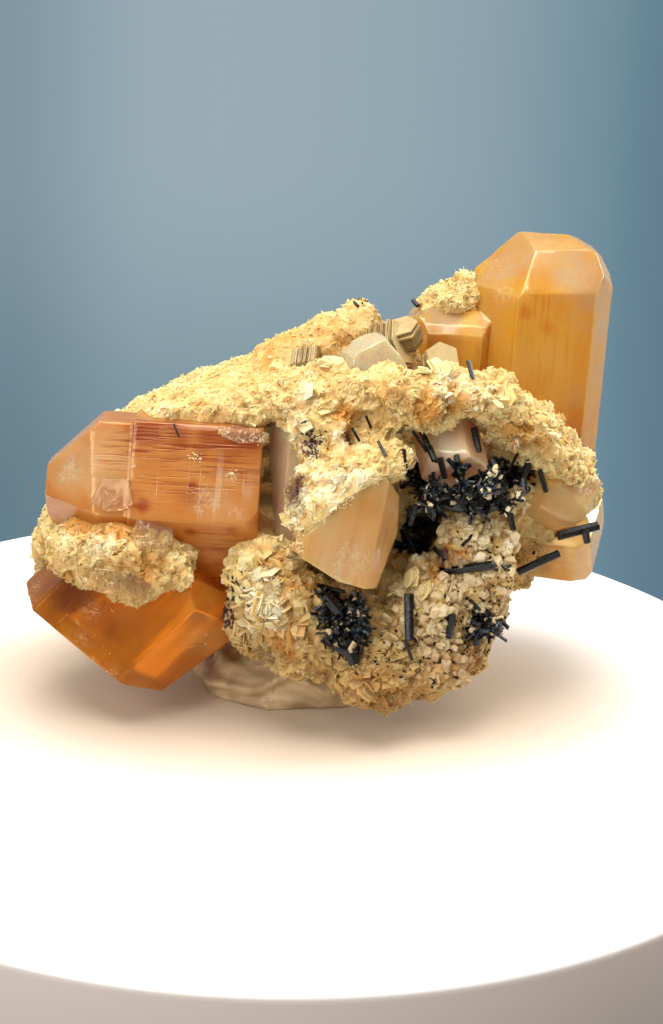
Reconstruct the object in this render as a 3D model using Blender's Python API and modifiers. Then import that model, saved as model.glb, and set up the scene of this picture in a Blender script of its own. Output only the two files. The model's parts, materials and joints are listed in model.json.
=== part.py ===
"""A mineral specimen on a pad of display putty: sherry-coloured topaz crystals, smoky quartz, mica books
and black tourmaline needles in a pale rock of mica and albite.

The origin is the middle of the putty's flat underside. The specimen is seen from -Y, with +X to the right
and +Z up. Sizes in the tables are millimetres, and MM turns them into metres.
"""

import math
import random

import bmesh
import bpy
from mathutils import Matrix, Vector, noise

MM = 0.001
GAP = 0.3  # clear space between a piece and its pocket in the rock
ROCK_VOXEL = 1.0  # grid that melts the rock's lumps into one body
ROCK_TRIANGLES = 4300  # the rock before its pockets are cut
ROCK_ROUGHNESS = 1.1  # how far the rock's surface wanders
ROCK_SWELLS = (5.5, 2.6)  # the two sizes of its waves
ROCK_SEED = 3.1
ROCK_RELAXING = 2  # passes that take the grid's steps off
LUMP_DETAIL = 3  # subdivisions of the balls that the rock is melted from
CUTTER_DETAIL = 2  # subdivisions of the balls that cut hollows, and of the tourmaline's cores
PAD_RADIUS = (12.2, 8.6)  # the putty's half width and half depth
PAD_HEIGHT = 6.2
PAD_SHIFT = 2.3  # the putty reaches further to the right, under the heavier side
PAD_SINK = 0.9  # how far the ball's middle is over the table
PAD_FACES = (28, 18)  # round the ball, and from foot to top
PAD_WAVES = ((3, 0.05, 0.8), (7, 0.035, 0.0))  # waves round the rim, the height of each, and its turn
PAD_LIFT = 0.5  # how far its top wanders
PAD_LIFT_SIZE = 3.4
FAR = 60.0  # half the side of the block that crystals are cut from
TOWARDS_VIEWER = (0.0, -1.0, 0.0)

COLOURS = {
    "rock": ((0.78, 0.66, 0.42), 0.85),
    "topaz": ((0.86, 0.50, 0.20), 0.15),
    "pale_topaz": ((0.84, 0.62, 0.42), 0.2),
    "smoky": ((0.20, 0.14, 0.10), 0.2),
    "clear": ((0.80, 0.74, 0.62), 0.15),
    "mica": ((0.52, 0.42, 0.22), 0.3),
    "tourmaline": ((0.015, 0.015, 0.018), 0.25),
    "putty": ((0.60, 0.54, 0.44), 0.7),
}
SMOOTH_BELOW = 30.0  # degrees: the putty's soft edges

# A spray's needles start within this share of its core's half sizes, and always point out of the rock.
ROOT_SPREAD = (0.85, 0.3, 0.7)
LEAST_OUTWARD = 0.15
EXTRA_OUTWARD = 0.3

# Each lump of the rock is a centre and three half sizes: x, y, z, half width, half depth, half height.
ROCK_LUMPS = [
    # the core behind everything
    (1.0, 5.0, 22.0, 22.0, 13.0, 14.5),
    (22.0, 5.0, 22.5, 13.0, 10.5, 12.5),
    (-13.5, 2.0, 22.5, 11.0, 9.0, 8.5),
    (13.5, 0.0, 11.5, 12.0, 9.5, 7.5),
    (3.0, 13.0, 24.0, 15.0, 6.0, 11.0),
    # the left flank, beside the lower topaz
    (-22.0, -2.0, 17.5, 5.5, 8.0, 7.0),
    (-25.0, -3.0, 14.0, 3.5, 5.0, 4.5),
    # the shelf between the two left topazes
    (-18.5, -10.0, 21.0, 5.5, 5.0, 3.0),
    (-15.0, -12.5, 20.5, 4.5, 4.0, 2.6),
    (-20.0, -11.5, 18.5, 4.5, 3.8, 3.2),
    (-15.0, -13.5, 17.3, 4.8, 3.0, 2.7),
    (-11.5, -13.0, 18.6, 3.2, 3.4, 3.0),
    # the crust that laps over the striated topaz
    (-16.0, -3.0, 31.4, 3.6, 5.5, 1.6),
    (-13.0, -2.0, 32.6, 5.0, 6.5, 2.1),
    (-10.5, -1.0, 33.6, 5.5, 7.0, 2.6),
    (-7.0, -1.5, 34.4, 5.5, 7.0, 2.8),
    (-3.5, -2.5, 35.0, 4.5, 6.5, 3.0),
    # the top ridge, up to its knob
    (-7.5, 5.0, 33.5, 6.0, 7.0, 2.6),
    (-2.5, 5.0, 35.0, 5.5, 7.0, 3.2),
    (1.5, 5.0, 37.8, 4.6, 6.5, 3.6),
    (5.0, 5.0, 39.8, 4.2, 6.0, 4.2),
    (8.2, 5.0, 43.0, 2.5, 3.2, 2.9),
    (11.0, 5.0, 38.0, 4.5, 6.0, 4.2),
    # the crest beside the smoky quartz
    (5.6, -10.0, 31.4, 3.6, 4.5, 5.4),
    (4.0, -8.0, 34.6, 3.8, 4.8, 3.2),
    # the lip over the centre topaz
    (3.3, -14.5, 25.4, 2.8, 3.4, 2.6),
    (5.2, -15.0, 28.2, 3.8, 3.6, 2.6),
    (8.0, -14.5, 30.6, 3.8, 3.8, 2.5),
    (10.8, -13.5, 31.8, 3.2, 3.4, 2.2),
    # the drape below it, down to the front plate
    (-1.0, -12.5, 17.0, 4.3, 4.2, 5.6),
    (-2.4, -11.0, 12.0, 3.5, 4.0, 4.0),
    (2.2, -13.5, 14.6, 4.5, 4.0, 5.0),
    (3.4, -14.8, 10.6, 4.0, 2.6, 4.6),
    (-1.8, -10.0, 9.0, 3.0, 3.0, 2.2),
    # the front foot, which hangs in front of the putty
    (7.6, -11.0, 11.4, 5.0, 5.0, 5.0),
    (12.0, -13.0, 7.7, 5.6, 5.0, 4.3),
    (16.5, -11.0, 8.4, 5.6, 5.0, 4.3),
    (17.2, -11.0, 14.8, 4.2, 4.2, 5.0),
    # the arch over the tourmaline hollow
    (1.6, -6.0, 36.5, 4.0, 5.0, 3.2),
    (5.4, -7.0, 37.2, 5.0, 5.0, 3.6),
    (9.5, -8.5, 37.4, 5.0, 4.6, 3.4),
    (13.6, -9.5, 37.8, 4.5, 4.5, 3.0),
    (18.0, -9.0, 38.2, 4.5, 4.6, 2.8),
    (22.4, -7.0, 37.4, 4.8, 5.0, 3.0),
    (26.0, -5.8, 35.0, 4.4, 5.0, 3.3),
    (29.8, -3.6, 32.0, 4.3, 5.0, 3.3),
    (33.4, -0.5, 29.2, 2.9, 5.0, 2.5),
    (34.6, 1.0, 26.0, 2.4, 5.0, 3.2),
    # the rim between the tall topaz and its shoulder, and the cap on the shoulder
    (17.0, 11.0, 38.0, 4.0, 6.0, 7.0),
    (17.5, 13.5, 42.8, 3.6, 3.2, 2.4),
    (16.2, 9.0, 43.8, 2.6, 3.6, 1.5),
    (18.2, 9.5, 45.0, 2.8, 3.8, 1.8),
    (20.4, 9.5, 46.6, 2.2, 3.4, 1.9),
    # the lower right, with its knots of albite
    (21.3, -8.0, 19.3, 5.5, 4.6, 5.8),
    (22.4, -6.5, 13.0, 4.0, 5.0, 5.0),
    (20.8, -8.0, 9.8, 4.3, 5.0, 3.5),
    (30.5, 2.5, 21.5, 4.8, 7.0, 6.0),
    # the back, which the camera doesn't see
    (-10.0, 11.0, 20.5, 9.0, 6.5, 8.0),
    (-18.5, 7.5, 18.0, 7.0, 6.5, 8.0),
    (-12.0, 13.0, 13.5, 7.5, 5.5, 5.0),
    (9.0, 18.5, 21.0, 7.5, 4.0, 6.5),
    (-1.5, 17.5, 27.5, 7.0, 4.0, 5.0),
    (22.0, 15.0, 21.0, 6.5, 5.5, 5.0),
    (30.5, 14.5, 24.0, 5.5, 4.5, 5.0),
    (33.0, 9.5, 21.5, 4.0, 7.0, 4.5),
    (0.5, 12.0, 11.5, 9.0, 7.5, 6.0),
]

# Hollows in the rock, given the same way.
ROCK_HOLLOWS = [
    (15.8, -9.5, 23.4, 2.5, 7.0, 4.0),  # the dark cavity below the tourmaline
    (1.0, -9.5, 25.0, 1.5, 5.0, 1.6),  # the rust-coloured hole by the smoky quartz
    (19.5, -13.0, 26.8, 6.0, 3.4, 2.0),  # the seat of the upper tourmaline spray
    (8.2, -16.0, 13.4, 1.8, 3.0, 2.6),  # the seat of the lower spray
    (1.0, -13.0, 5.8, 6.0, 6.0, 2.2),  # the dark gap between the rock and the putty
]


def azimuth_facets(slope, *pairs):
    """Facets that share a slope: each pair is an azimuth in degrees and a distance."""
    return [(azimuth, slope, distance) for azimuth, distance in pairs]


# Creases that a thumb left in the putty.
PUTTY_CREASES = [
    (-5.0, -8.6, 3.9, 5.2, 3.4, 0.75),
    (1.8, -9.4, 2.6, 5.6, 2.4, 0.5),
    (-8.6, 1.5, 3.2, 3.0, 4.5, 0.6),
    (8.0, 7.4, 3.0, 5.0, 2.6, 0.6),
]

# A crystal is cut from a block by facets. Its axis is the way it grew, and a facet is an azimuth about that
# axis, counted from the side that faces the viewer, a slope from the axis (90 is a prism face, 0 the tip,
# 180 the root) and a distance from the centre. Where two crystals met, the one that names the other in
# grew_against was stopped by it.
CRYSTALS = {
    "topaz_tall": {
        "material": "topaz",
        "parts": [
            {
                "centre": (29.2, 9.5, 30.0),
                "axis": (0.01, 0.0, 1.0),
                "facets": azimuth_facets(
                    90, (8, 7.0), (-52, 7.6), (62, 7.5), (188, 6.6), (128, 7.2), (242, 7.7), (-92, 8.2), (90, 7.7)
                )
                + azimuth_facets(50, (6, 16.6), (-50, 16.8), (130, 17.2), (188, 16.2), (235, 17.2))
                + azimuth_facets(62, (78, 15.2))
                + azimuth_facets(41, (86, 19.9), (-92, 20.9))
                + azimuth_facets(24, (0, 21.3), (180, 21.2), (80, 22.1), (-85, 22.8))
                + [(0, 0, 23.6), (0, 180, 12.5), (180, 145, 10.0)],
            },
            {
                "centre": (18.0, 9.0, 32.0),
                "axis": (0.02, 0.0, 1.0),
                "facets": azimuth_facets(
                    90, (0, 5.6), (-58, 4.9), (60, 6.2), (180, 5.2), (-90, 4.3), (120, 6.0), (90, 8.0), (240, 4.6)
                )
                + azimuth_facets(52, (0, 10.6), (180, 10.8))
                + azimuth_facets(30, (-90, 11.8), (0, 12.0), (180, 12.0))
                + [(0, 180, 12.0)],
            },
        ],
    },
    "topaz_striated": {
        "material": "topaz",
        "parts": [
            {
                "centre": (-13.0, -6.0, 25.0),
                "axis": (-1.0, 0.0, 0.015),
                "facets": azimuth_facets(90, (28, 6.7), (-31, 7.3), (90, 8.6), (-90, 8.8), (152, 6.0), (208, 6.0))
                + [(0, 0, 3.0), (0, 180, 11.0), (-10, 128, 12.3)],
            },
            {
                "centre": (-13.0, -6.0, 25.0),
                "axis": (-1.0, 0.0, 0.015),
                "facets": azimuth_facets(90, (28, 6.3), (-31, 6.9), (90, 8.3), (-90, 8.5), (152, 5.7), (208, 5.7))
                + azimuth_facets(46, (90, 10.7), (-90, 11.2))
                + azimuth_facets(56, (24, 9.2), (-32, 9.2), (155, 9.0), (205, 9.0))
                + [(0, 0, 12.6), (0, 180, 0.0)],
            },
        ],
    },
    "topaz_lower": {
        "material": "topaz",
        "grew_against": ["topaz_striated"],
        "parts": [
            {
                "centre": (-14.5, -9.0, 12.0),
                "axis": (-0.69, -0.06, -0.72),
                "facets": azimuth_facets(90, (14, 5.2), (-32, 6.6), (72, 9.6), (90, 11.0), (176, 5.0), (222, 7.0))
                + [(-90, 8, 6.7), (-90, 22, 7.2), (-90, 82, 8.1), (-90, 138, 9.3), (90, 170, 7.4), (90, 137, 6.2)]
                + [(0, 34, 8.6), (200, 35, 8.4), (-20, 140, 8.6)],
            }
        ],
    },
    "topaz_centre": {
        "material": "pale_topaz",
        "parts": [
            {
                "centre": (7.6, -13.0, 24.5),
                "axis": (-0.16, -0.1, -1.0),
                "facets": azimuth_facets(90, (-6, 5.2), (-54, 5.4), (48, 6.8), (180, 4.5), (130, 6.0), (230, 5.0))
                + [(90, 125, 3.0), (90, 142, 3.6), (-90, 133, 6.5), (-90, 99, 5.3), (-90, 80, 5.2)]
                + [(90, 23, 4.8), (90, 6, 5.2), (90, 77, 6.2), (-30, 34, 8.0)],
            }
        ],
    },
    "topaz_right": {
        "material": "topaz",
        "grew_against": ["topaz_tall"],
        "parts": [
            {
                "centre": (31.0, 1.5, 19.8),
                "axis": (0.93, -0.3, 0.02),
                "facets": azimuth_facets(90, (24, 4.6), (-42, 3.9), (88, 4.9), (-94, 4.3), (150, 4.5), (212, 4.5))
                + [(-70, 42, 6.2), (30, 48, 6.2), (120, 40, 6.3), (0, 0, 5.9), (0, 180, 7.0)],
            },
            {
                "centre": (31.2, -1.6, 25.8),
                "axis": (0.55, -0.62, 0.45),
                "facets": azimuth_facets(90, (20, 4.3), (75, 4.0), (130, 4.4), (190, 4.2), (250, 4.2), (310, 4.0))
                + azimuth_facets(48, (10, 4.5), (100, 4.5), (190, 4.4), (285, 4.4))
                + [(0, 0, 4.0), (0, 180, 5.0)],
            },
        ],
    },
    "topaz_pink": {
        "material": "pale_topaz",
        "parts": [
            {
                "centre": (18.4, -6.5, 31.4),
                "axis": (0.15, -0.6, -0.5),
                "facets": azimuth_facets(90, (0, 3.0), (55, 3.3), (112, 3.1), (180, 3.0), (238, 3.4), (300, 3.2))
                + [(20, 46, 3.6), (200, 42, 3.7), (0, 0, 3.3), (0, 180, 3.6)],
            }
        ],
    },
    "smoky_quartz": {
        "material": "smoky",
        "grew_against": ["topaz_striated"],
        "parts": [
            {
                "centre": (1.3, -4.8, 27.0),
                "axis": (0.06, 0.05, 1.0),
                "facets": azimuth_facets(90, (10, 3.0), (70, 2.5), (130, 2.6), (190, 3.0), (250, 2.5), (-50, 2.5))
                + azimuth_facets(45, (-50, 7.4), (130, 7.6), (10, 7.9))
                + [(0, 180, 7.6), (0, 0, 7.6)],
            }
        ],
    },
    "quartz_clear": {
        "material": "clear",
        "grew_against": ["mica_book_top"],
        "parts": [
            {
                "centre": (9.2, -4.2, 39.2),
                "axis": (0.35, -0.4, 0.85),
                "facets": azimuth_facets(90, (0, 3.4), (58, 3.2), (120, 3.4), (182, 3.3), (244, 3.2), (300, 3.5))
                + azimuth_facets(44, (20, 3.4), (140, 3.5), (255, 3.4))
                + [(0, 180, 3.5)],
            }
        ],
    },
    "mica_book_top": {
        "material": "mica",
        "parts": [
            {
                "centre": (11.6, 0.2, 41.0),
                "axis": (0.66, -0.28, 0.34),
                "facets": azimuth_facets(90, (0, 2.7), (60, 2.9), (120, 2.6), (180, 2.8), (240, 2.7), (300, 2.9))
                + [(0, 0, 1.6), (0, 180, 1.7)],
            },
            {
                "centre": (12.9, 0.8, 42.2),
                "axis": (-0.3, -0.3, 0.9),
                "facets": azimuth_facets(90, (20, 2.2), (80, 2.0), (140, 2.2), (200, 2.1), (260, 2.0), (320, 2.3))
                + [(0, 0, 1.1), (0, 180, 1.5)],
            },
        ],
    },
    "mica_book_middle": {
        "material": "mica",
        "parts": [
            {
                "centre": (2.6, -1.2, 38.6),
                "axis": (0.92, -0.2, 0.2),
                "facets": azimuth_facets(90, (10, 2.1), (70, 2.2), (130, 2.0), (190, 2.2), (250, 2.1), (310, 2.2))
                + [(0, 0, 1.5), (0, 180, 1.5)],
            }
        ],
    },
    "mica_book_small": {
        "material": "mica",
        "parts": [
            {
                "centre": (17.0, -2.6, 40.2),
                "axis": (0.2, -0.72, 0.5),
                "facets": azimuth_facets(90, (0, 1.9), (60, 1.8), (120, 1.9), (180, 1.9), (240, 1.8), (300, 1.8))
                + [(0, 0, 0.9), (0, 180, 1.3)],
            }
        ],
    },
}

# Each spray of tourmaline has a core that its needles grow from: centre, half sizes, the way the needles
# point, how widely they spread, how many there are, and their length and radius.
SPRAYS = {
    "tourmaline_upper": {
        "core": (20.2, -11.0, 26.8, 5.7, 1.7, 1.5),
        "aim": (0.0, -0.75, 0.35),
        "spread": 1.0,
        "count": 20,
        "length": (2.6, 4.6),
        "radius": (0.38, 0.62),
        "seed": 4,
    },
    "tourmaline_lower": {
        "core": (8.6, -15.2, 13.6, 1.8, 1.6, 3.2),
        "aim": (0.1, -0.8, -0.1),
        "spread": 1.1,
        "count": 10,
        "length": (2.0, 3.2),
        "radius": (0.35, 0.6),
        "seed": 9,
    },
    "tourmaline_right": {
        "core": (22.6, -11.2, 12.4, 1.9, 1.5, 1.4),
        "aim": (0.2, -0.8, 0.2),
        "spread": 1.1,
        "count": 8,
        "length": (2.0, 3.0),
        "radius": (0.35, 0.55),
        "seed": 2,
    },
}

# Single long needles: one end, the other end, and the radius.
NEEDLES = {
    "needle_long": ((17.6, -11.0, 18.6), (23.6, -13.4, 20.6), 0.55),
    "needle_upright": ((14.6, -13.2, 16.8), (14.9, -15.4, 12.2), 0.55),
    "needle_right": ((31.2, -6.7, 22.0), (35.8, -5.2, 22.9), 0.6),
    "needle_edge": ((27.2, -5.4, 17.0), (31.8, -5.0, 19.4), 0.5),
    "needle_rim": ((14.9, -9.5, 34.6), (16.6, -12.2, 31.6), 0.35),
}


def clear_scene():
    for obj in list(bpy.data.objects):
        bpy.data.objects.remove(obj, do_unlink=True)


def make_collection(name):
    collection = bpy.data.collections.new(name)
    bpy.context.scene.collection.children.link(collection)
    return collection


def make_material(name):
    colour, roughness = COLOURS[name]
    material = bpy.data.materials.new(name)
    material.use_nodes = True
    shader = material.node_tree.nodes["Principled BSDF"]
    shader.inputs["Base Color"].default_value = (*colour, 1.0)
    shader.inputs["Roughness"].default_value = roughness
    shader.inputs["Metallic"].default_value = 0.0
    return material


def add_object(name, mesh_source, collection):
    """An object from a bmesh, which is freed, or from a mesh."""
    if isinstance(mesh_source, bmesh.types.BMesh):
        mesh = bpy.data.meshes.new(name)
        mesh_source.to_mesh(mesh)
        mesh_source.free()
    else:
        mesh = mesh_source
    obj = bpy.data.objects.new(name, mesh)
    collection.objects.link(obj)
    return obj


def applied(obj):
    """The mesh of obj with its modifiers, as a new mesh."""
    graph = bpy.context.evaluated_depsgraph_get()
    return bpy.data.meshes.new_from_object(obj.evaluated_get(graph))


def apply_modifiers(obj):
    mesh = applied(obj)
    obj.modifiers.clear()
    obj.data = mesh


def frame_of(axis):
    """Axis, the side facing the viewer, and the third direction, all square to each other."""
    along = Vector(axis).normalized()
    towards = Vector(TOWARDS_VIEWER)
    towards = (towards - along * towards.dot(along)).normalized()
    return along, towards, along.cross(towards)


def cut_crystal(part, grow):
    """One convex crystal, with every facet moved out by grow."""
    along, towards, aside = frame_of(part["axis"])
    centre = Vector(part["centre"]) * MM
    body = bmesh.new()
    bmesh.ops.create_cube(body, size=2 * FAR * MM, matrix=Matrix.Translation(centre))
    for azimuth, slope, distance in part["facets"]:
        turn, tilt = math.radians(azimuth), math.radians(slope)
        normal = (towards * math.cos(turn) + aside * math.sin(turn)) * math.sin(tilt) + along * math.cos(tilt)
        everything = body.verts[:] + body.edges[:] + body.faces[:]
        cut = bmesh.ops.bisect_plane(
            body,
            geom=everything,
            plane_co=centre + normal * (distance + grow) * MM,
            plane_no=normal,
            clear_outer=True,
        )
        rim = [piece for piece in cut["geom_cut"] if isinstance(piece, bmesh.types.BMEdge)]
        if rim:
            bmesh.ops.edgeloop_fill(body, edges=rim)
    bmesh.ops.recalc_face_normals(body, faces=body.faces[:])
    return body


def ellipsoid(lump, grow, detail):
    x, y, z, *halves = lump
    body = bmesh.new()
    size = Matrix.Diagonal([(half + grow) * MM for half in halves] + [1.0])
    place = Matrix.Translation(Vector((x, y, z)) * MM)
    bmesh.ops.create_icosphere(body, subdivisions=detail, radius=1.0, matrix=place @ size)
    return body


def needle(start, end, radius, grow):
    """A six-sided prism between two points."""
    start, end = Vector(start) * MM, Vector(end) * MM
    along = end - start
    body = bmesh.new()
    bmesh.ops.create_cone(
        body,
        cap_ends=True,
        segments=6,
        radius1=(radius + grow) * MM,
        radius2=(radius + grow) * MM,
        depth=along.length + 2 * grow * MM,
        matrix=Matrix.Translation((start + end) / 2) @ along.to_track_quat("Z", "Y").to_matrix().to_4x4(),
    )
    return body


def spray_needles(spray):
    """The ends and radii of a spray's needles, fanned from its core."""
    draw = random.Random(spray["seed"])
    x, y, z, half_x, half_y, half_z = spray["core"]
    aim = Vector(spray["aim"]).normalized()
    found = []
    for _ in range(spray["count"]):
        shares = [draw.uniform(-share, share) for share in ROOT_SPREAD]
        root = Vector((x + half_x * shares[0], y + half_y * shares[1], z + half_z * shares[2]))
        lean = Vector([draw.uniform(-1, 1) for _ in range(3)]) * spray["spread"]
        way = (aim + lean).normalized()
        if way.y > -LEAST_OUTWARD:
            way.y = -LEAST_OUTWARD - EXTRA_OUTWARD * draw.random()
        way.normalize()
        found.append((root, root + way * draw.uniform(*spray["length"]), draw.uniform(*spray["radius"])))
    return found


def spray_bodies(spray, grow):
    bodies = [ellipsoid(spray["core"], grow, CUTTER_DETAIL)]
    bodies += [needle(start, end, radius, grow) for start, end, radius in spray_needles(spray)]
    return bodies


def fuse(name, bodies, collection):
    """One object from closed bodies that overlap."""
    first, *others = [add_object(f"{name}_{i}", body, cutters) for i, body in enumerate(bodies)]
    if others:
        joining = bpy.data.collections.new(f"{name}_joining")
        for other in others:
            joining.objects.link(other)
        union = first.modifiers.new("join", "BOOLEAN")
        union.operation = "UNION"
        union.operand_type = "COLLECTION"
        union.collection = joining
        mesh = applied(first)
    else:
        mesh = first.data.copy()
    made = add_object(name, mesh, collection)
    if others:
        bpy.data.collections.remove(joining)
    for helper in [first, *others]:
        bpy.data.objects.remove(helper, do_unlink=True)
    return made


def keep_largest_body(obj):
    """Deletes crumbs that a cut has left loose, also one that hangs on by a single corner."""
    body = bmesh.new()
    body.from_mesh(obj.data)
    left, groups = set(body.faces), []
    while left:
        group, waiting = [], [left.pop()]
        while waiting:
            face = waiting.pop()
            group.append(face)
            for edge in face.edges:
                for other in edge.link_faces:
                    if other in left:
                        left.remove(other)
                        waiting.append(other)
        groups.append(group)
    groups.sort(key=len)
    crumbs = [face for group in groups[:-1] for face in group]
    bmesh.ops.delete(body, geom=crumbs, context="FACES")
    body.to_mesh(obj.data)
    body.free()


def roughen(obj, amount, swells, seed):
    """Moves each vertex along its normal by two sizes of noise. The sizes are millimetres."""
    coarse, fine = swells
    body = bmesh.new()
    body.from_mesh(obj.data)
    body.normal_update()
    shift = Vector((seed, seed * 1.7, -seed))
    for vert in body.verts:
        place = vert.co / MM
        swell = noise.noise(place / coarse + shift) + 0.6 * noise.noise(place / fine - shift)
        vert.co += vert.normal * swell * amount * MM
    body.to_mesh(obj.data)
    body.free()


def carve(obj, body):
    """Takes the body away from obj."""
    cutter = add_object("cutter", body, cutters)
    cutter.display_type = "WIRE"
    cutter.hide_render = True
    difference = obj.modifiers.new("cut", "BOOLEAN")
    difference.operation = "DIFFERENCE"
    difference.object = cutter
    apply_modifiers(obj)
    bpy.data.objects.remove(cutter, do_unlink=True)


def make_rock(collection):
    """Lumps melted together on a grid, roughened, thinned to flat chips and hollowed."""
    rock = add_object("matrix_rock", bmesh.new(), collection)
    joined = bmesh.new()
    for index, sizes in enumerate(ROCK_LUMPS):
        lump = add_object(f"lump_{index}", ellipsoid(sizes, 0.0, LUMP_DETAIL), cutters)
        joined.from_mesh(lump.data)
        bpy.data.objects.remove(lump, do_unlink=True)
    joined.to_mesh(rock.data)
    joined.free()
    melt = rock.modifiers.new("melt", "REMESH")
    melt.mode = "VOXEL"
    melt.voxel_size = ROCK_VOXEL * MM
    apply_modifiers(rock)
    keep_largest_body(rock)
    relax = rock.modifiers.new("relax", "SMOOTH")
    relax.iterations = ROCK_RELAXING
    apply_modifiers(rock)
    roughen(rock, ROCK_ROUGHNESS, ROCK_SWELLS, ROCK_SEED)
    for hollow in ROCK_HOLLOWS:
        carve(rock, ellipsoid(hollow, 0.0, CUTTER_DETAIL))
    thin = rock.modifiers.new("thin", "DECIMATE")
    thin.ratio = min(1.0, ROCK_TRIANGLES / sum(len(face.vertices) - 2 for face in rock.data.polygons))
    apply_modifiers(rock)
    return rock


def pad_body(grow):
    """The putty: a squashed ball with a flat foot, and a thumb-pressed fold on its left front."""
    body = bmesh.new()
    halves = [*PAD_RADIUS, PAD_HEIGHT]
    size = Matrix.Diagonal([(half + grow) * MM for half in halves] + [1.0])
    around, upward = PAD_FACES
    bmesh.ops.create_uvsphere(body, u_segments=around, v_segments=upward, radius=1.0, matrix=size)
    foot = -grow * MM
    bmesh.ops.translate(body, verts=body.verts[:], vec=(PAD_SHIFT * MM, 0.0, PAD_SINK * MM))
    for vert in body.verts:
        place = vert.co / MM
        turn = math.atan2(place.y, place.x)
        swell = 1.0 + sum(height * math.sin(count * turn + start) for count, height, start in PAD_WAVES)
        lift = noise.noise(place / PAD_LIFT_SIZE + Vector((5.0, 1.0, 2.0)))
        vert.co.x *= swell
        vert.co.y *= swell
        vert.co.z += lift * PAD_LIFT * MM * min(1.0, max(0.0, place.z / 2.0))
    cut = bmesh.ops.bisect_plane(
        body,
        geom=body.verts[:] + body.edges[:] + body.faces[:],
        plane_co=(0.0, 0.0, foot),
        plane_no=(0.0, 0.0, -1.0),
        clear_outer=True,
    )
    rim = [piece for piece in cut["geom_cut"] if isinstance(piece, bmesh.types.BMEdge)]
    bmesh.ops.edgeloop_fill(body, edges=rim)
    bmesh.ops.recalc_face_normals(body, faces=body.faces[:])
    return body


def finish(obj, material):
    obj.data.materials.clear()
    obj.data.materials.append(material)
    obj.data.shade_flat()


def soften(obj):
    """Shades a pressed or moulded piece smooth, and leaves its real corners sharp."""
    obj.data.shade_smooth()
    obj.data.set_sharp_from_angle(angle=math.radians(SMOOTH_BELOW))


clear_scene()
specimen = make_collection("topaz_specimen")
cutters = make_collection("cutters")
cutters.hide_render = True
materials = {name: make_material(name) for name in COLOURS}

rock = make_rock(specimen)
pockets = []

for name, crystal in CRYSTALS.items():
    made = fuse(name, [cut_crystal(part, 0.0) for part in crystal["parts"]], specimen)
    for neighbour in crystal.get("grew_against", []):
        for part in CRYSTALS[neighbour]["parts"]:
            carve(made, cut_crystal(part, GAP))
    finish(made, materials[crystal["material"]])
    pockets += [cut_crystal(part, GAP) for part in crystal["parts"]]

for name, spray in SPRAYS.items():
    made = fuse(name, spray_bodies(spray, 0.0), specimen)
    finish(made, materials["tourmaline"])
    pockets += spray_bodies(spray, GAP)

for name, (start, end, radius) in NEEDLES.items():
    made = add_object(name, needle(start, end, radius, 0.0), specimen)
    finish(made, materials["tourmaline"])
    pockets.append(needle(start, end, radius, GAP))

putty = add_object("display_putty", pad_body(0.0), specimen)
for crease in PUTTY_CREASES:
    carve(putty, ellipsoid(crease, 0.0, CUTTER_DETAIL))
finish(putty, materials["putty"])
soften(putty)
pockets.append(pad_body(GAP))

for pocket in pockets:
    carve(rock, pocket)
keep_largest_body(rock)
finish(rock, materials["rock"])
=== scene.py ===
import json
import math
import random

import bmesh
import bpy
import numpy as np
from mathutils import Matrix, Vector, noise
from mathutils.bvhtree import BVHTree

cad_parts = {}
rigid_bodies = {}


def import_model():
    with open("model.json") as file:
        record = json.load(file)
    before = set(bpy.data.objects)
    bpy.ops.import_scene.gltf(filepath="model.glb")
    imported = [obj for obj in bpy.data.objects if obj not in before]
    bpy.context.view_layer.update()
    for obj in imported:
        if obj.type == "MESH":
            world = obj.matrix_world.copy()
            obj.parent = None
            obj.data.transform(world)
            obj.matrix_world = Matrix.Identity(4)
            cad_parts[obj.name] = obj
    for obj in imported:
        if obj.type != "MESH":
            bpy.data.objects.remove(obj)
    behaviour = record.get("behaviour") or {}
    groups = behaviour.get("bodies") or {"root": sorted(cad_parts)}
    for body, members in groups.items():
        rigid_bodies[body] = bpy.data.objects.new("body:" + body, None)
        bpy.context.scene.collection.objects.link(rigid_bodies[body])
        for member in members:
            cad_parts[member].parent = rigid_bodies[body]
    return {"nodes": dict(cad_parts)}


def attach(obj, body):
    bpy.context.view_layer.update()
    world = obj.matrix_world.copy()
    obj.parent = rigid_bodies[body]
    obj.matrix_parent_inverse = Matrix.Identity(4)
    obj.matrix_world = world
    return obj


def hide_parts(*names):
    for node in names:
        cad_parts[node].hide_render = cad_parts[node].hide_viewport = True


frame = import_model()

# A cabinet specimen: honey topaz crystals in a crust of cream mica, on a pad of putty.
# Lengths in the settings are millimetres. A spot is x, y in the 663 x 1024 picture, and it is dropped
# on the surface that the camera sees there.

mm = 0.001
noise.seed_set(3)  # noise_vector draws its offsets from this seed, so each run gives the same crust
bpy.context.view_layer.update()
nodes = frame["nodes"]
print("frame loaded:", len(nodes), "nodes")

# Camera
view = {
    "place": (5.86, -175.83, 78.57),
    "tilt": 72.0,  # degrees up from looking straight down
    "roll": 2.55,
    "lens": 56.25,
    "sensor": 36.0,
    "frame": (663, 1024),
}


def linkToScene(thing):
    bpy.context.scene.collection.objects.link(thing)
    return thing


lookTilt = Matrix.Rotation(math.radians(view["tilt"]), 4, "X")
lookTurn = lookTilt @ Matrix.Rotation(math.radians(view["roll"]), 4, "Z")
cameraData = bpy.data.cameras.new("camera")
cameraData.lens = view["lens"]
cameraData.sensor_width = view["sensor"]
cameraData.clip_start = 1 * mm
camera = linkToScene(bpy.data.objects.new("camera", cameraData))
camera.matrix_world = Matrix.Translation(Vector(view["place"]) * mm) @ lookTurn
bpy.context.scene.camera = camera


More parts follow.
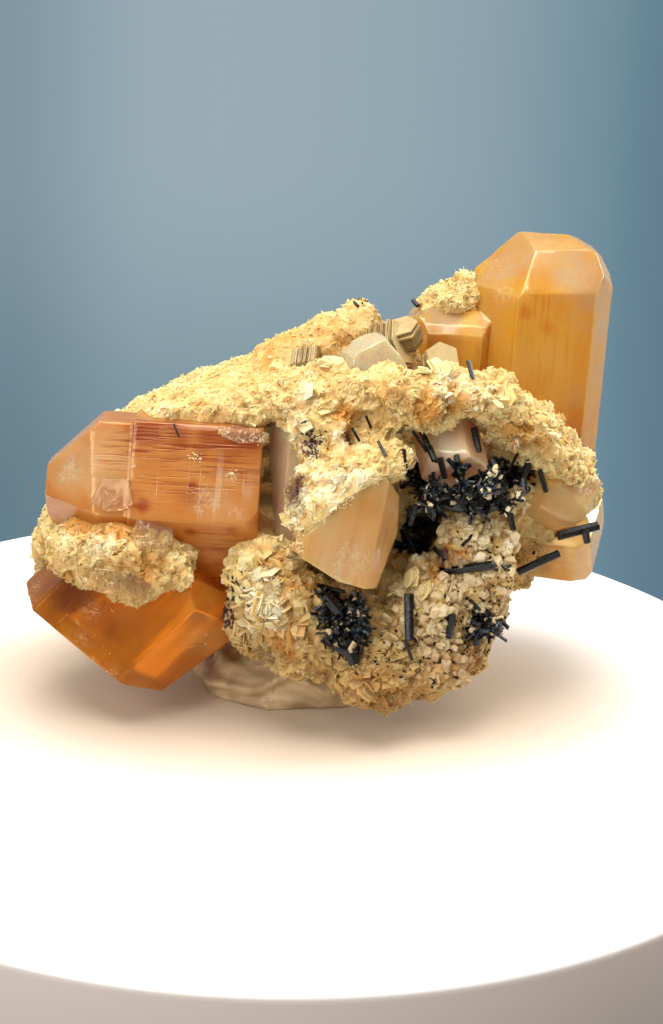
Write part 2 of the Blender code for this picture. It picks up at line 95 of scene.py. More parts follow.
def rayThrough(x, y):  # from the camera through a spot of the picture
    wide, high = view["frame"]
    focal = view["lens"] / view["sensor"] * high
    way = Vector(((x - wide / 2) / focal, (high / 2 - y) / focal, -1.0))
    return Vector(view["place"]) * mm, (lookTurn.to_3x3() @ way).normalized()


def treeOf(meshes):
    everything = bmesh.new()
    for mesh in meshes:
        everything.from_mesh(mesh)
    tree = BVHTree.FromBMesh(everything)
    everything.free()
    return tree


def dropSpot(tree, x, y):  # the point and normal that the camera sees at a spot, or None
    start, way = rayThrough(x, y)
    point, normal, _, _ = tree.ray_cast(start, way)
    return (point, normal) if point else None


allSolids = treeOf([node.data for node in nodes.values()])
crystalNames = [name for name in nodes if name.startswith(("topaz", "smoky", "quartz", "mica", "display"))]
crystalTree = treeOf([nodes[name].data for name in crystalNames])


# Node tools for the materials
def addNode(tree, kind, **settings):
    made = tree.nodes.new(kind)
    for name, value in settings.items():
        setattr(made, name, value)
    return made


def feed(tree, socket, value):  # a socket takes a link or a plain value
    if isinstance(value, bpy.types.NodeSocket):
        tree.links.new(value, socket)
    elif isinstance(value, tuple) and len(value) == 3 and socket.type == "RGBA":
        socket.default_value = (*value, 1.0)
    else:
        socket.default_value = value


def setInputs(tree, node, values):
    for title, value in values.items():
        feed(tree, node.inputs[title], value)


def calc(tree, operation, first, second=0.0, third=0.0, clamp=False):
    made = addNode(tree, "ShaderNodeMath", operation=operation, use_clamp=clamp)
    for socket, value in zip(made.inputs, (first, second, third)):
        feed(tree, socket, value)
    return made.outputs[0]


def blendColours(tree, share, first, second, kind="MIX"):
    made = addNode(tree, "ShaderNodeMix", data_type="RGBA", blend_type=kind)
    feed(tree, made.inputs[0], share)
    feed(tree, made.inputs[6], first)
    feed(tree, made.inputs[7], second)
    return made.outputs[2]


def rampOf(tree, value, low, high):  # 0 below low, 1 above high
    made = addNode(tree, "ShaderNodeMapRange", interpolation_type="SMOOTHSTEP")
    setInputs(tree, made, {"Value": value, "From Min": low, "From Max": high})
    return made.outputs[0]


def noiseOf(tree, space, scale, detail=3.0, rough=0.55, warp=0.0):
    made = addNode(tree, "ShaderNodeTexNoise")
    setInputs(tree, made, {
        "Vector": space, "Scale": scale, "Detail": detail, "Roughness": rough, "Distortion": warp,
    })
    return made.outputs["Fac"]


def vectorCalc(tree, operation, first, second):
    made = addNode(tree, "ShaderNodeVectorMath", operation=operation)
    feed(tree, made.inputs[0], first)
    feed(tree, made.inputs[1], second)
    return made.outputs["Value" if operation == "DOT_PRODUCT" else "Vector"]


def stretched(tree, space, factors):
    return vectorCalc(tree, "MULTIPLY", space, factors)


def attributeOf(tree, name):
    return addNode(tree, "ShaderNodeAttribute", attribute_name=name).outputs["Fac"]


def groupOf(name, inputs, outputs):
    tree = bpy.data.node_groups.new(name, "ShaderNodeTree")
    for title, kind in inputs:
        tree.interface.new_socket(title, in_out="INPUT", socket_type=kind)
    for title, kind in outputs:
        tree.interface.new_socket(title, in_out="OUTPUT", socket_type=kind)
    return tree, addNode(tree, "NodeGroupInput").outputs, addNode(tree, "NodeGroupOutput").inputs


colour, number, direction = "NodeSocketColor", "NodeSocketFloat", "NodeSocketVector"


def tiltedCells(tree, space, scale):  # small flat facets, each leaning its own way, as a height
    cells = addNode(tree, "ShaderNodeTexVoronoi")
    setInputs(tree, cells, {"Vector": space, "Scale": scale})
    lean = vectorCalc(tree, "SUBTRACT", cells.outputs["Color"], (0.5, 0.5, 0.5))
    away = vectorCalc(tree, "SUBTRACT", space, cells.outputs["Position"])
    return vectorCalc(tree, "DOT_PRODUCT", lean, away)


def contourOf(tree, value, width):  # 1 on the thin curves where the noise passes its middle
    away = calc(tree, "ABSOLUTE", calc(tree, "SUBTRACT", value, 0.5))
    return rampOf(tree, away, width, width * 0.3)


# The mottling of the crust, its flakes and its grains, with painted shade in the hollows and towards the
# bottom and painted highlights on raised places
def makeCrustTones():
    tree, given, made = groupOf(
        "crustTones",
        [("Space", direction), ("Cream", colour), ("White", colour), ("Ochre", colour), ("Speck", colour)],
        [("Color", colour), ("Roughness", number), ("Height", number)],
    )
    space = given["Space"]
    broad = noiseOf(tree, space, 0.28, 3.0)
    fine = noiseOf(tree, space, 1.9, 4.0, 0.65)
    height = attributeOf(tree, "height")
    # ochre mottling from noise and the ochre zone, plus painted shade: the low places of the relief turn
    # ochre
    ochreAndHollowShade = calc(tree, "MULTIPLY_ADD", height, -0.35, 0.0)
    ochreAndHollowShade = calc(tree, "ADD", ochreAndHollowShade, calc(tree, "MULTIPLY_ADD", broad, 1.3, -0.55))
    ochreAndHollowShade = calc(tree, "ADD", ochreAndHollowShade, calc(tree, "MULTIPLY_ADD", fine, 0.5, -0.25))
    ochreAndHollowShade = calc(tree, "ADD", ochreAndHollowShade, attributeOf(tree, "ochre"), clamp=True)
    tone = calc(tree, "MULTIPLY_ADD", attributeOf(tree, "tone"), 0.3, -0.1)
    # painted highlight: the raised places of the relief turn whiter; noise, the pale zone and each flake's
    # tone add whiter mottling
    paleAndRaisedHighlight = calc(tree, "MULTIPLY_ADD", height, 0.4, -0.05)
    paleAndRaisedHighlight = calc(tree, "ADD", paleAndRaisedHighlight, calc(tree, "MULTIPLY_ADD", fine, 1.4, -0.75))
    paleAndRaisedHighlight = calc(tree, "ADD", paleAndRaisedHighlight, calc(tree, "ADD", attributeOf(tree, "pale"), tone), clamp=True)
    body = blendColours(tree, ochreAndHollowShade, given["Cream"], given["Ochre"])
    body = blendColours(tree, paleAndRaisedHighlight, body, given["White"])
    # painted shade: the crust turns darker towards the bottom, where less light falls, with a ragged edge
    # from broad noise
    parts = addNode(tree, "ShaderNodeSeparateXYZ")
    tree.links.new(space, parts.inputs[0])
    lift = calc(tree, "ADD", parts.outputs["Z"], calc(tree, "MULTIPLY_ADD", broad, 12.0, -6.0))
    lowPaintedShade = blendColours(tree, 1.0, body, (0.5, 0.4, 0.3), "MULTIPLY")
    body = blendColours(tree, rampOf(tree, lift, 1.0, 27.0), lowPaintedShade, body)
    speckles = addNode(tree, "ShaderNodeTexVoronoi")
    setInputs(tree, speckles, {"Vector": space, "Scale": 1.5})
    dots = rampOf(tree, speckles.outputs["Distance"], 0.2, 0.1)
    where = calc(tree, "MULTIPLY_ADD", broad, 1.4, -0.85)
    where = calc(tree, "ADD", attributeOf(tree, "pepper"), where, clamp=True)
    dots = calc(tree, "MULTIPLY", dots, where, clamp=True)
    body = blendColours(tree, dots, body, given["Speck"])
    # near-black painted shade in a hollow and in a gap between crystals
    body = blendColours(tree, attributeOf(tree, "dark"), body, (0.004, 0.003, 0.003))
    body = blendColours(tree, attributeOf(tree, "maroon_spots"), body, (0.07, 0.006, 0.004))
    feed(tree, made["Color"], body)
    feed(tree, made["Roughness"], calc(tree, "MULTIPLY_ADD", fine, 0.5, 0.2))
    scales = calc(tree, "MULTIPLY", tiltedCells(tree, space, 1.5), 3.0)
    grit = calc(tree, "MULTIPLY", tiltedCells(tree, space, 3.6), 3.0)
    feed(tree, made["Height"], calc(tree, "ADD", fine, calc(tree, "ADD", scales, grit)))
    return tree


# The zoning inside a topaz: cloudy, with fine lines along the crystal's own Z
def makeCrystalTones():
    tree, given, made = groupOf(
        "crystalTones",
        [
            ("Space", direction), ("Deep", colour), ("Body", colour), ("Pale", colour), ("Cloud", number),
            ("Lines", number),
        ],
        [("Color", colour), ("Roughness", number), ("Height", number)],
    )
    space = given["Space"]
    cloud = calc(tree, "SUBTRACT", noiseOf(tree, space, 0.16, 3.0, 0.5), 0.5)
    lines = noiseOf(tree, stretched(tree, space, (1.0, 1.0, 0.05)), 2.4, 3.0, 0.6)
    hair = noiseOf(tree, stretched(tree, space, (1.0, 1.0, 0.03)), 7.0, 2.0, 0.5)
    dashes = noiseOf(tree, stretched(tree, space, (1.0, 1.0, 0.05)), 2.8, 2.0, 0.5)
    dashes = calc(tree, "MULTIPLY", rampOf(tree, dashes, 0.5, 0.41), attributeOf(tree, "striae"), clamp=True)
    lineShare = calc(tree, "MULTIPLY", calc(tree, "SUBTRACT", lines, 0.5), given["Lines"])
    clouded = calc(tree, "MULTIPLY", cloud, given["Cloud"])
    deep = calc(tree, "ADD", attributeOf(tree, "deep"), clouded)
    deep = calc(tree, "ADD", deep, calc(tree, "ADD", lineShare, dashes))
    deep = calc(tree, "ADD", deep, attributeOf(tree, "groove"), clamp=True)
    # the pale zone: paler crystal, and on the tall topaz a painted reflection and highlight
    pale = calc(tree, "SUBTRACT", attributeOf(tree, "pale"), clouded, clamp=True)
    body = blendColours(tree, pale, given["Body"], given["Pale"])
    body = blendColours(tree, deep, body, given["Deep"])
    streaks = calc(tree, "MULTIPLY", rampOf(tree, hair, 0.56, 0.72), 0.22)
    body = blendColours(tree, streaks, body, given["Pale"])
    cleave = contourOf(tree, noiseOf(tree, stretched(tree, space, (0.01, 0.01, 1.0)), 0.3, 1.0), 0.012)
    cleave = calc(tree, "MULTIPLY", cleave, attributeOf(tree, "cleave"))
    veil = contourOf(tree, noiseOf(tree, space, 0.45, 1.0, 0.5, 0.5), 0.012)
    broken = rampOf(tree, noiseOf(tree, space, 0.7, 2.0), 0.45, 0.6)
    veil = calc(tree, "MULTIPLY", calc(tree, "MULTIPLY", veil, broken), attributeOf(tree, "crack"))
    specks = noiseOf(tree, space, 2.4, 3.0, 0.7)
    frost = calc(tree, "MULTIPLY", rampOf(tree, specks, 0.35, 0.75), attributeOf(tree, "frost"), clamp=True)
    light = calc(tree, "ADD", cleave, veil)
    light = calc(tree, "MULTIPLY_ADD", frost, 0.8, light, clamp=True)
    body = blendColours(tree, light, body, (0.96, 0.86, 0.66))
    feed(tree, made["Color"], body)
    feed(tree, made["Roughness"], calc(tree, "ADD", 0.2, calc(tree, "MULTIPLY", light, 0.4)))
    relief = calc(tree, "ADD", lines, calc(tree, "MULTIPLY", hair, 0.4))
    relief = calc(tree, "SUBTRACT", relief, calc(tree, "MULTIPLY", dashes, 0.8))
    feed(tree, made["Height"], calc(tree, "ADD", relief, calc(tree, "MULTIPLY", specks, light)))
    return tree


crustTones = makeCrustTones()
crystalTones = makeCrystalTones()


def newMaterial(name):
    made = bpy.data.materials.new(name)
    made.use_nodes = True
    return made, made.node_tree, made.node_tree.nodes["Principled BSDF"]


def objectSpace(tree, turn=None, centre=(0.0, 0.0, 0.0)):  # object coordinates in millimetres
    place = addNode(tree, "ShaderNodeMapping", vector_type="TEXTURE")
    setInputs(tree, place, {
        "Vector": addNode(tree, "ShaderNodeTexCoord").outputs["Object"],
        "Location": Vector(centre) * mm,
        "Rotation": turn.to_euler() if turn else (0.0, 0.0, 0.0),
        "Scale": (mm, mm, mm),
    })
    return place.outputs[0]


def bumpFrom(tree, shader, height, depth):
    bump = addNode(tree, "ShaderNodeBump")
    setInputs(tree, bump, {"Strength": 1.0, "Distance": depth * mm, "Height": height})
    tree.links.new(bump.outputs[0], shader.inputs["Normal"])


def crustMaterial(name, cream, white, ochre, glow, depth):
    material, tree, shader = newMaterial(name)
    tones = addNode(tree, "ShaderNodeGroup", node_tree=crustTones)
    setInputs(tree, tones, {
        "Space": objectSpace(tree), "Cream": cream, "White": white, "Ochre": ochre,
        "Speck": (0.03, 0.015, 0.01),
    })
    setInputs(tree, shader, {
        "Base Color": tones.outputs["Color"],
        "Roughness": tones.outputs["Roughness"],
        "Specular IOR Level": 0.35,
        "Subsurface Weight": glow,
        "Subsurface Radius": (1.0, 0.6, 0.25),
        "Subsurface Scale": 0.8 * mm,
    })
    bumpFrom(tree, shader, tones.outputs["Height"], depth)
    return material


def crystalMaterial(name, settings, turn):
    material, tree, shader = newMaterial(name)
    tones = addNode(tree, "ShaderNodeGroup", node_tree=crystalTones)
    setInputs(tree, tones, {
        "Space": objectSpace(tree, turn, settings["centre"]),
        "Deep": settings["deep"],
        "Body": settings["body"],
        "Pale": settings["pale"],
        "Cloud": settings["cloud"],
        "Lines": settings["lines"],
    })
    setInputs(tree, shader, {
        "Base Color": tones.outputs["Color"],
        "Roughness": tones.outputs["Roughness"],
        "IOR": settings["ior"],
        "Specular IOR Level": settings["gloss"],
        "Specular Tint": settings["sheen"],
        "Transmission Weight": settings["clear"],
        "Subsurface Weight": settings["glow"],
        "Subsurface Radius": (1.0, 0.55, 0.2),
        "Subsurface Scale": 3 * mm,
        "Coat Weight": settings["coat"],
        "Coat Roughness": 0.05,
        "Coat IOR": 1.5,
    })
    bumpFrom(tree, shader, tones.outputs["Height"], settings["relief"])
    soak = addNode(tree, "ShaderNodeVolumeAbsorption")
    setInputs(tree, soak, {"Color": settings["soak"], "Density": settings["density"]})
    tree.links.new(soak.outputs[0], tree.nodes["Material Output"].inputs["Volume"])
    return material


def tourmalineMaterial():
    material, tree, shader = newMaterial("black tourmaline")
    space = objectSpace(tree)
    # painted highlight: some prisms and some patches are steel blue, standing in for glints on the black
    # faces
    paintedGlint = rampOf(tree, attributeOf(tree, "tone"), 0.86, 0.98)
    patches = rampOf(tree, noiseOf(tree, space, 0.8, 3.0), 0.62, 0.76)
    paintedGlint = calc(tree, "MULTIPLY", calc(tree, "ADD", paintedGlint, patches, clamp=True), 0.6)
    body = blendColours(tree, paintedGlint, (0.002, 0.002, 0.002), (0.03, 0.06, 0.09))
    brown = rampOf(tree, noiseOf(tree, space, 0.5), 0.38, 0.28)
    setInputs(tree, shader, {
        "Base Color": blendColours(tree, brown, body, (0.035, 0.012, 0.008)),
        "Roughness": calc(tree, "MULTIPLY_ADD", noiseOf(tree, space, 3.0), 0.4, 0.04),
        "IOR": 1.63,
        "Specular IOR Level": 0.28,
    })
    bumpFrom(tree, shader, noiseOf(tree, space, 6.0, 2.0), 0.05)
    return material


def puttyMaterial():
    material, tree, shader = newMaterial("putty")
    space = objectSpace(tree)
    broad = noiseOf(tree, space, 0.25, 3.0, 0.5, 0.6)
    body = blendColours(tree, rampOf(tree, broad, 0.35, 0.65), (0.34, 0.22, 0.10), (0.60, 0.44, 0.24))
    grit = rampOf(tree, noiseOf(tree, space, 2.6, 1.0), 0.68, 0.74)
    setInputs(tree, shader, {
        "Base Color": blendColours(tree, calc(tree, "MULTIPLY", grit, 0.7), body, (0.14, 0.12, 0.1)),
        "Roughness": calc(tree, "MULTIPLY_ADD", broad, 0.2, 0.45),
        "Subsurface Weight": 0.15,
        "Subsurface Radius": (1.0, 0.7, 0.45),
        "Subsurface Scale": 1 * mm,
    })
    bumpFrom(tree, shader, noiseOf(tree, space, 1.6, 4.0, 0.6), 0.1)
    return material


# Mesh tools
def mergedCopy(name):  # a CAD node is loose triangles, so a copy of it is merged first
    body = bmesh.new()
    body.from_mesh(nodes[name].data)
    bmesh.ops.remove_doubles(body, verts=body.verts[:], dist=0.004 * mm)
    return body


def wear(mesh, material):
    mesh.materials.clear()
    mesh.materials.append(material)


def objectFrom(name, body, material):
    mesh = bpy.data.meshes.new(name)
    if isinstance(body, bmesh.types.BMesh):
        body.to_mesh(mesh)
        body.free()
    else:
        mesh = body
        mesh.name = name
    wear(mesh, material)
    return linkToScene(bpy.data.objects.new(name, mesh))


def bake(piece):  # the mesh that the modifiers make
    graph = bpy.context.evaluated_depsgraph_get()
    finished = piece.evaluated_get(graph)
    mesh = bpy.data.meshes.new_from_object(finished, preserve_all_data_layers=True, depsgraph=graph)
    piece.modifiers.clear()
    piece.data = mesh
    return piece


def melted(name, node, material, grid):  # a node's solid with an even grid of faces
    piece = objectFrom(name, mergedCopy(node), material)
    melt = piece.modifiers.new("melt", "REMESH")
    melt.mode = "VOXEL"
    melt.voxel_size = grid * mm
    return bake(piece)


def thicken(body, thick):  # gives a flat face a thickness
    raised = bmesh.ops.extrude_face_region(body, geom=body.faces[:])["geom"]
    lifted = [vert for vert in raised if isinstance(vert, bmesh.types.BMVert)]
    bmesh.ops.translate(body, verts=lifted, vec=(0, 0, thick))
    bmesh.ops.recalc_face_normals(body, faces=body.faces[:])


def joinInto(whole, body):
    loose = bpy.data.meshes.new("loose")
    body.to_mesh(loose)
    body.free()
    whole.from_mesh(loose)
    bpy.data.meshes.remove(loose)


def settle(piece, slot, *replaced):
    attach(piece, "root")
    if replaced:
        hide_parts(*replaced)
    faces = sum(len(face.vertices) - 2 for face in piece.data.polygons)
    print("piece", piece.name, faces, "triangles")
    return piece


def coordinatesOf(mesh):
    flat = np.empty(len(mesh.vertices) * 3, np.float32)
    mesh.vertices.foreach_get("co", flat)
    return flat.reshape(-1, 3) / mm


def normalsOf(mesh):
    flat = np.empty(len(mesh.vertices) * 3, np.float32)
    mesh.vertex_normals.foreach_get("vector", flat)
    return flat.reshape(-1, 3)


def moveTo(mesh, places):
    mesh.vertices.foreach_set("co", (places * mm).astype(np.float32).ravel())


def storeValue(mesh, name, values):
    made = mesh.attributes.get(name) or mesh.attributes.new(name, "FLOAT", "POINT")
    made.data.foreach_set("value", np.asarray(values, np.float32))


def valuesOf(mesh, name):
    stored = np.empty(len(mesh.vertices), np.float32)
    mesh.attributes[name].data.foreach_get("value", stored)
    return stored


def ragged(places, scale, shift):  # noise at each place, to break up a soft edge
    aside = Vector((shift, -shift, shift))
    return np.array([noise.noise(Vector(place) * scale + aside) for place in places])


def paintZones(mesh, zones, tree=allSolids):
    # each zone is an attribute; each spot is x, y, radius, strength
    places = coordinatesOf(mesh)
    wander = ragged(places, 0.7, 3.0) * 0.5
    for name, spots in zones.items():
        value = np.zeros(len(places))
        for x, y, radius, strength in spots:
            hit = dropSpot(tree, x, y)
            if hit is None:
                print("spot missed:", name, x, y)
                continue
            away = np.linalg.norm(places - np.array(hit[0]) / mm, axis=1) / radius
            value = np.maximum(value, strength * np.clip(1.6 - away * 1.25 + wander, 0.0, 1.0))
        storeValue(mesh, name, value)


# Crust
crust = {
    "grid": 0.39,
    "lump": (2.1, 0.5),  # size and height
    "plate": (0.85, 0.36),
    "crinkle": (0.5, 0.14),
    "cream": (0.76, 0.55, 0.22),
    "white": (0.92, 0.78, 0.48),
    "ochre": (0.56, 0.25, 0.045),
    "glow": 0.45,
    "bump": 0.12,
    "sharpAngle": 38,
    "calm": 0.7,  # relief fades nearer than this to a crystal
    "close": 1.0,  # and the rock leans on the crystal when it is nearer than this
    "zones": {
        "puffy": [
            (300, 330, 6, 1), (345, 310, 5, 1), (255, 360, 6, 1), (220, 380, 5, 0.8), (330, 345, 4, 1),
        ],
        "ochre": [
            (310, 330, 4, 0.35), (270, 350, 4, 0.35), (345, 330, 3, 0.3), (200, 390, 4, 0.2),
            (430, 408, 2.2, 0.9), (452, 402, 2, 0.7), (345, 418, 1.5, 0.8), (286, 462, 2, 0.7),
            (520, 432, 2.4, 0.7), (75, 510, 3, 0.8), (100, 525, 2.5, 0.7), (300, 590, 2, 0.5),
            (395, 385, 1.6, 0.6), (540, 440, 2, 0.7), (285, 640, 2.5, 0.7), (380, 690, 3, 0.5),
            (470, 660, 3, 0.5), (120, 520, 3, 0.7), (60, 570, 2.5, 0.5), (150, 570, 3, 0.5),
            (450, 560, 2.5, 0.7), (520, 560, 3, 0.5), (270, 560, 2, 0.4),
        ],
        "sink": [
            (552, 392, 3.4, 1.3), (575, 412, 4, 1.8), (595, 442, 3.4, 1.8), (432, 520, 2.0, 1.2),
            (425, 545, 1.4, 0.8), (60, 515, 1.6, 0.6), (90, 515, 2.2, 0.7), (290, 488, 1.0, 0.9),
            (360, 420, 1.0, 0.8), (350, 434, 1.0, 0.7), (410, 360, 1.0, 0.6), (450, 414, 1.4, 0.8),
        ],
        "slump": [(543, 394, 3.8, 2.6), (564, 418, 3.8, 3.0), (582, 446, 3.4, 2.4)],
        "shards": [
            (262, 600, 3.4, 1), (255, 572, 2.6, 1), (285, 620, 2.6, 0.8), (350, 660, 2.6, 1),
            (378, 685, 3, 1), (300, 560, 1.6, 0.6), (400, 670, 2, 0.7), (245, 640, 2, 0.7),
            (45, 560, 2, 0.5), (310, 410, 2, 0.5), (500, 400, 2, 0.4), (560, 425, 2, 0.5),
        ],
        "plum": [(224, 590, 1.1, 1), (224, 605, 1.2, 1), (228, 620, 1.1, 1), (312, 443, 1.5, 0.9)],
        # whiter crust, partly painted highlights on the crests and the lip
        "pale": [
            (297, 410, 2.2, 0.7), (300, 440, 1.8, 0.7), (340, 440, 1.8, 0.7), (450, 382, 2.5, 0.7),
            (480, 392, 2, 0.5), (300, 500, 2, 0.9), (330, 485, 2.4, 1), (352, 478, 2, 1),
            (302, 390, 1.6, 0.8), (305, 465, 1.4, 0.8), (290, 525, 1.6, 0.8), (100, 548, 2.2, 0.7),
            (60, 540, 2, 0.5), (358, 306, 2.4, 0.3), (262, 600, 3.0, 1.0), (275, 620, 2, 0.7),
            (250, 630, 2, 0.6), (500, 455, 2.2, 0.5), (560, 420, 2, 0.4),
        ],
        "pepper": [
            (236, 590, 2, 1), (225, 605, 1.5, 1), (315, 440, 1.8, 1), (470, 620, 5, 1), (500, 570, 3, 1),
            (440, 650, 4, 1), (360, 300, 1.2, 0.8), (480, 530, 3, 0.8), (390, 660, 3, 0.6),
            (560, 560, 3, 0.6),
        ],
        "albite": [
            (470, 525, 4.2, 1), (500, 545, 3, 1), (460, 580, 4, 1), (440, 620, 4, 1), (490, 620, 4, 1),
            (450, 660, 4, 1), (410, 570, 3, 0.6), (520, 500, 2.5, 0.6), (400, 630, 2.5, 0.6),
        ],
        "black": [
            (420, 474, 1.7, 1), (450, 476, 1.8, 1), (475, 478, 1.8, 1), (500, 476, 1.8, 1),
            (522, 476, 1.6, 1), (330, 605, 1.8, 1), (345, 640, 1.8, 1), (482, 632, 1.6, 0.8),
            (412, 520, 1.2, 1), (410, 545, 1.2, 0.8),
        ],
        # painted shade: near black in the hollow beside the tourmaline spray, in the gap between the
        # striated topaz and the smoky quartz, and in a few smaller spots
        "dark": [
            (268, 450, 0.9, 0.7), (268, 475, 0.9, 0.7), (268, 500, 0.9, 0.7), (426, 527, 2.4, 1),
            (430, 508, 2.0, 1), (422, 545, 1.8, 1), (235, 660, 2.0, 0.5), (265, 658, 1.6, 0.5),
            (288, 490, 0.9, 0.8),
        ],
        # near-black red spots, three of them in sunken pits
        "maroon_spots": [
            (290, 488, 2.0, 1), (455, 565, 1.2, 0.8), (443, 556, 1.2, 0.9), (350, 436, 0.8, 0.9),
            (410, 362, 1, 0.8),
        ],
    },
}
print("crust")
crustMat = crustMaterial(
    "mica crust", crust["cream"], crust["white"], crust["ochre"], crust["glow"], crust["bump"]
)


def crustRelief(place):
    # lumps, shingled plates with a step at each edge, and a fine crinkle: a height for each, in millimetres
    lumpSize, lumpHeight = crust["lump"]
    plateSize, plateHeight = crust["plate"]
    crinkleSize, crinkleHeight = crust["crinkle"]
    lump = noise.noise(place / lumpSize) + 0.5 * noise.noise(place / lumpSize * 2.3)
    bent = place / plateSize + Vector(noise.noise_vector(place / 2.0)) * 0.5
    near = noise.voronoi(bent)[1][0]
    tilt = Vector(noise.cell_vector(near * 9.7)) - Vector((0.5, 0.5, 0.5))
    plate = noise.cell(near * 5.3) - 0.5 + tilt.dot(bent - near) * 0.9
    crinkle = noise.noise(place / crinkleSize)
    return lump * lumpHeight, plate * plateHeight, crinkle * crinkleHeight


def makeCrust():
    piece = melted("mica_crust", "matrix_rock", crustMat, crust["grid"])
    mesh = piece.data
    places, normals = coordinatesOf(mesh), normalsOf(mesh)
    nearest = [crystalTree.find_nearest(Vector(place) * mm) for place in places]
    clearance = np.maximum([hit[3] / mm for hit in nearest], 0.001)
    towards = (np.array([hit[0][:] for hit in nearest]) / mm - places) / clearance[:, None]
    facing = np.sum(normals * towards, axis=1)
    paintZones(mesh, crust["zones"])
    zone = {name: valuesOf(mesh, name) for name in ("puffy", "sink", "slump", "black")}
    reliefs = np.array([crustRelief(Vector(place)) for place in places])
    calm = np.clip(clearance / crust["calm"] - 0.35, 0.05, 1.0)
    calm = np.maximum(calm, np.where(facing < 0.2, 0.6, 0.0))
    share = 1.0 - 0.7 * zone["puffy"]
    total = (reliefs[:, 0] + (reliefs[:, 1] + reliefs[:, 2]) * share) * calm - zone["sink"]
    lean = np.clip((crust["close"] - clearance) / crust["close"] * 2.0, 0.0, 1.0)
    moved = places + normals * (total * (1.0 - lean * (facing > 0.2)))[:, None]
    moved += towards * ((clearance + 0.05) * lean)[:, None]
    moved[:, 2] -= zone["slump"]
    height = (reliefs[:, 0] * 0.6 + reliefs[:, 1] + reliefs[:, 2]) * 2.4
    storeValue(mesh, "height", np.clip(height, -1.0, 1.0))
    storeValue(mesh, "open", ((clearance > 0.75) | (facing < 0.25)) * (places[:, 2] > 1.0))
    moveTo(mesh, moved)
    mesh.shade_smooth()
    mesh.set_sharp_from_angle(angle=math.radians(crust["sharpAngle"]))
    mesh.update()
    wear(mesh, crustMat)
    return settle(piece, "rock", "matrix_rock")


crustPiece = makeCrust()


# Small prototypes, a few dozen faces each, for the scatter
kindCount = 12


def flakeShape(sides, wide, thick, seed):
    draw = random.Random(seed)
    body = bmesh.new()
    bmesh.ops.create_circle(body, segments=sides, radius=1.0, cap_ends=True)
    for vert in body.verts:
        vert.co *= draw.uniform(0.7, 1.1)
        vert.co.x *= wide
    thicken(body, thick)
    for vert in body.verts:
        vert.co.z += 0.12 * vert.co.x * vert.co.x
    return body


def prismShape(sides, thick, seed):  # a needle of unit length that stands on its foot
    draw = random.Random(seed)
    body = bmesh.new()
    bmesh.ops.create_cone(
        body, cap_ends=True, segments=sides, radius1=thick, radius2=thick, depth=1.0,
        matrix=Matrix.Translation((0, 0, 0.35)),
    )
    for vert in body.verts:
        vert.co.z += draw.uniform(-0.06, 0.06)
    return body


def grainShape(seed):
    draw = random.Random(seed)
    body = bmesh.new()
    bmesh.ops.create_cube(body, size=1.3)
    bmesh.ops.bevel(
        body, geom=body.edges[:], offset=0.28, segments=1, profile=0.5, affect="EDGES", material=-1,
        clamp_overlap=True,
    )
    for vert in body.verts:
        vert.co += Vector([draw.uniform(-0.2, 0.2) for _ in range(3)])
    return body


def kindsOf(name, bodies):  # a collection of prototypes, which goes when the scatter is baked
    kinds = bpy.data.collections.new(name)
    for index, body in enumerate(bodies):
        mesh = bpy.data.meshes.new(f"{name}_{index}")
        body.to_mesh(mesh)
        body.free()
        kinds.objects.link(bpy.data.objects.new(f"{name}_{index}", mesh))
    return kinds


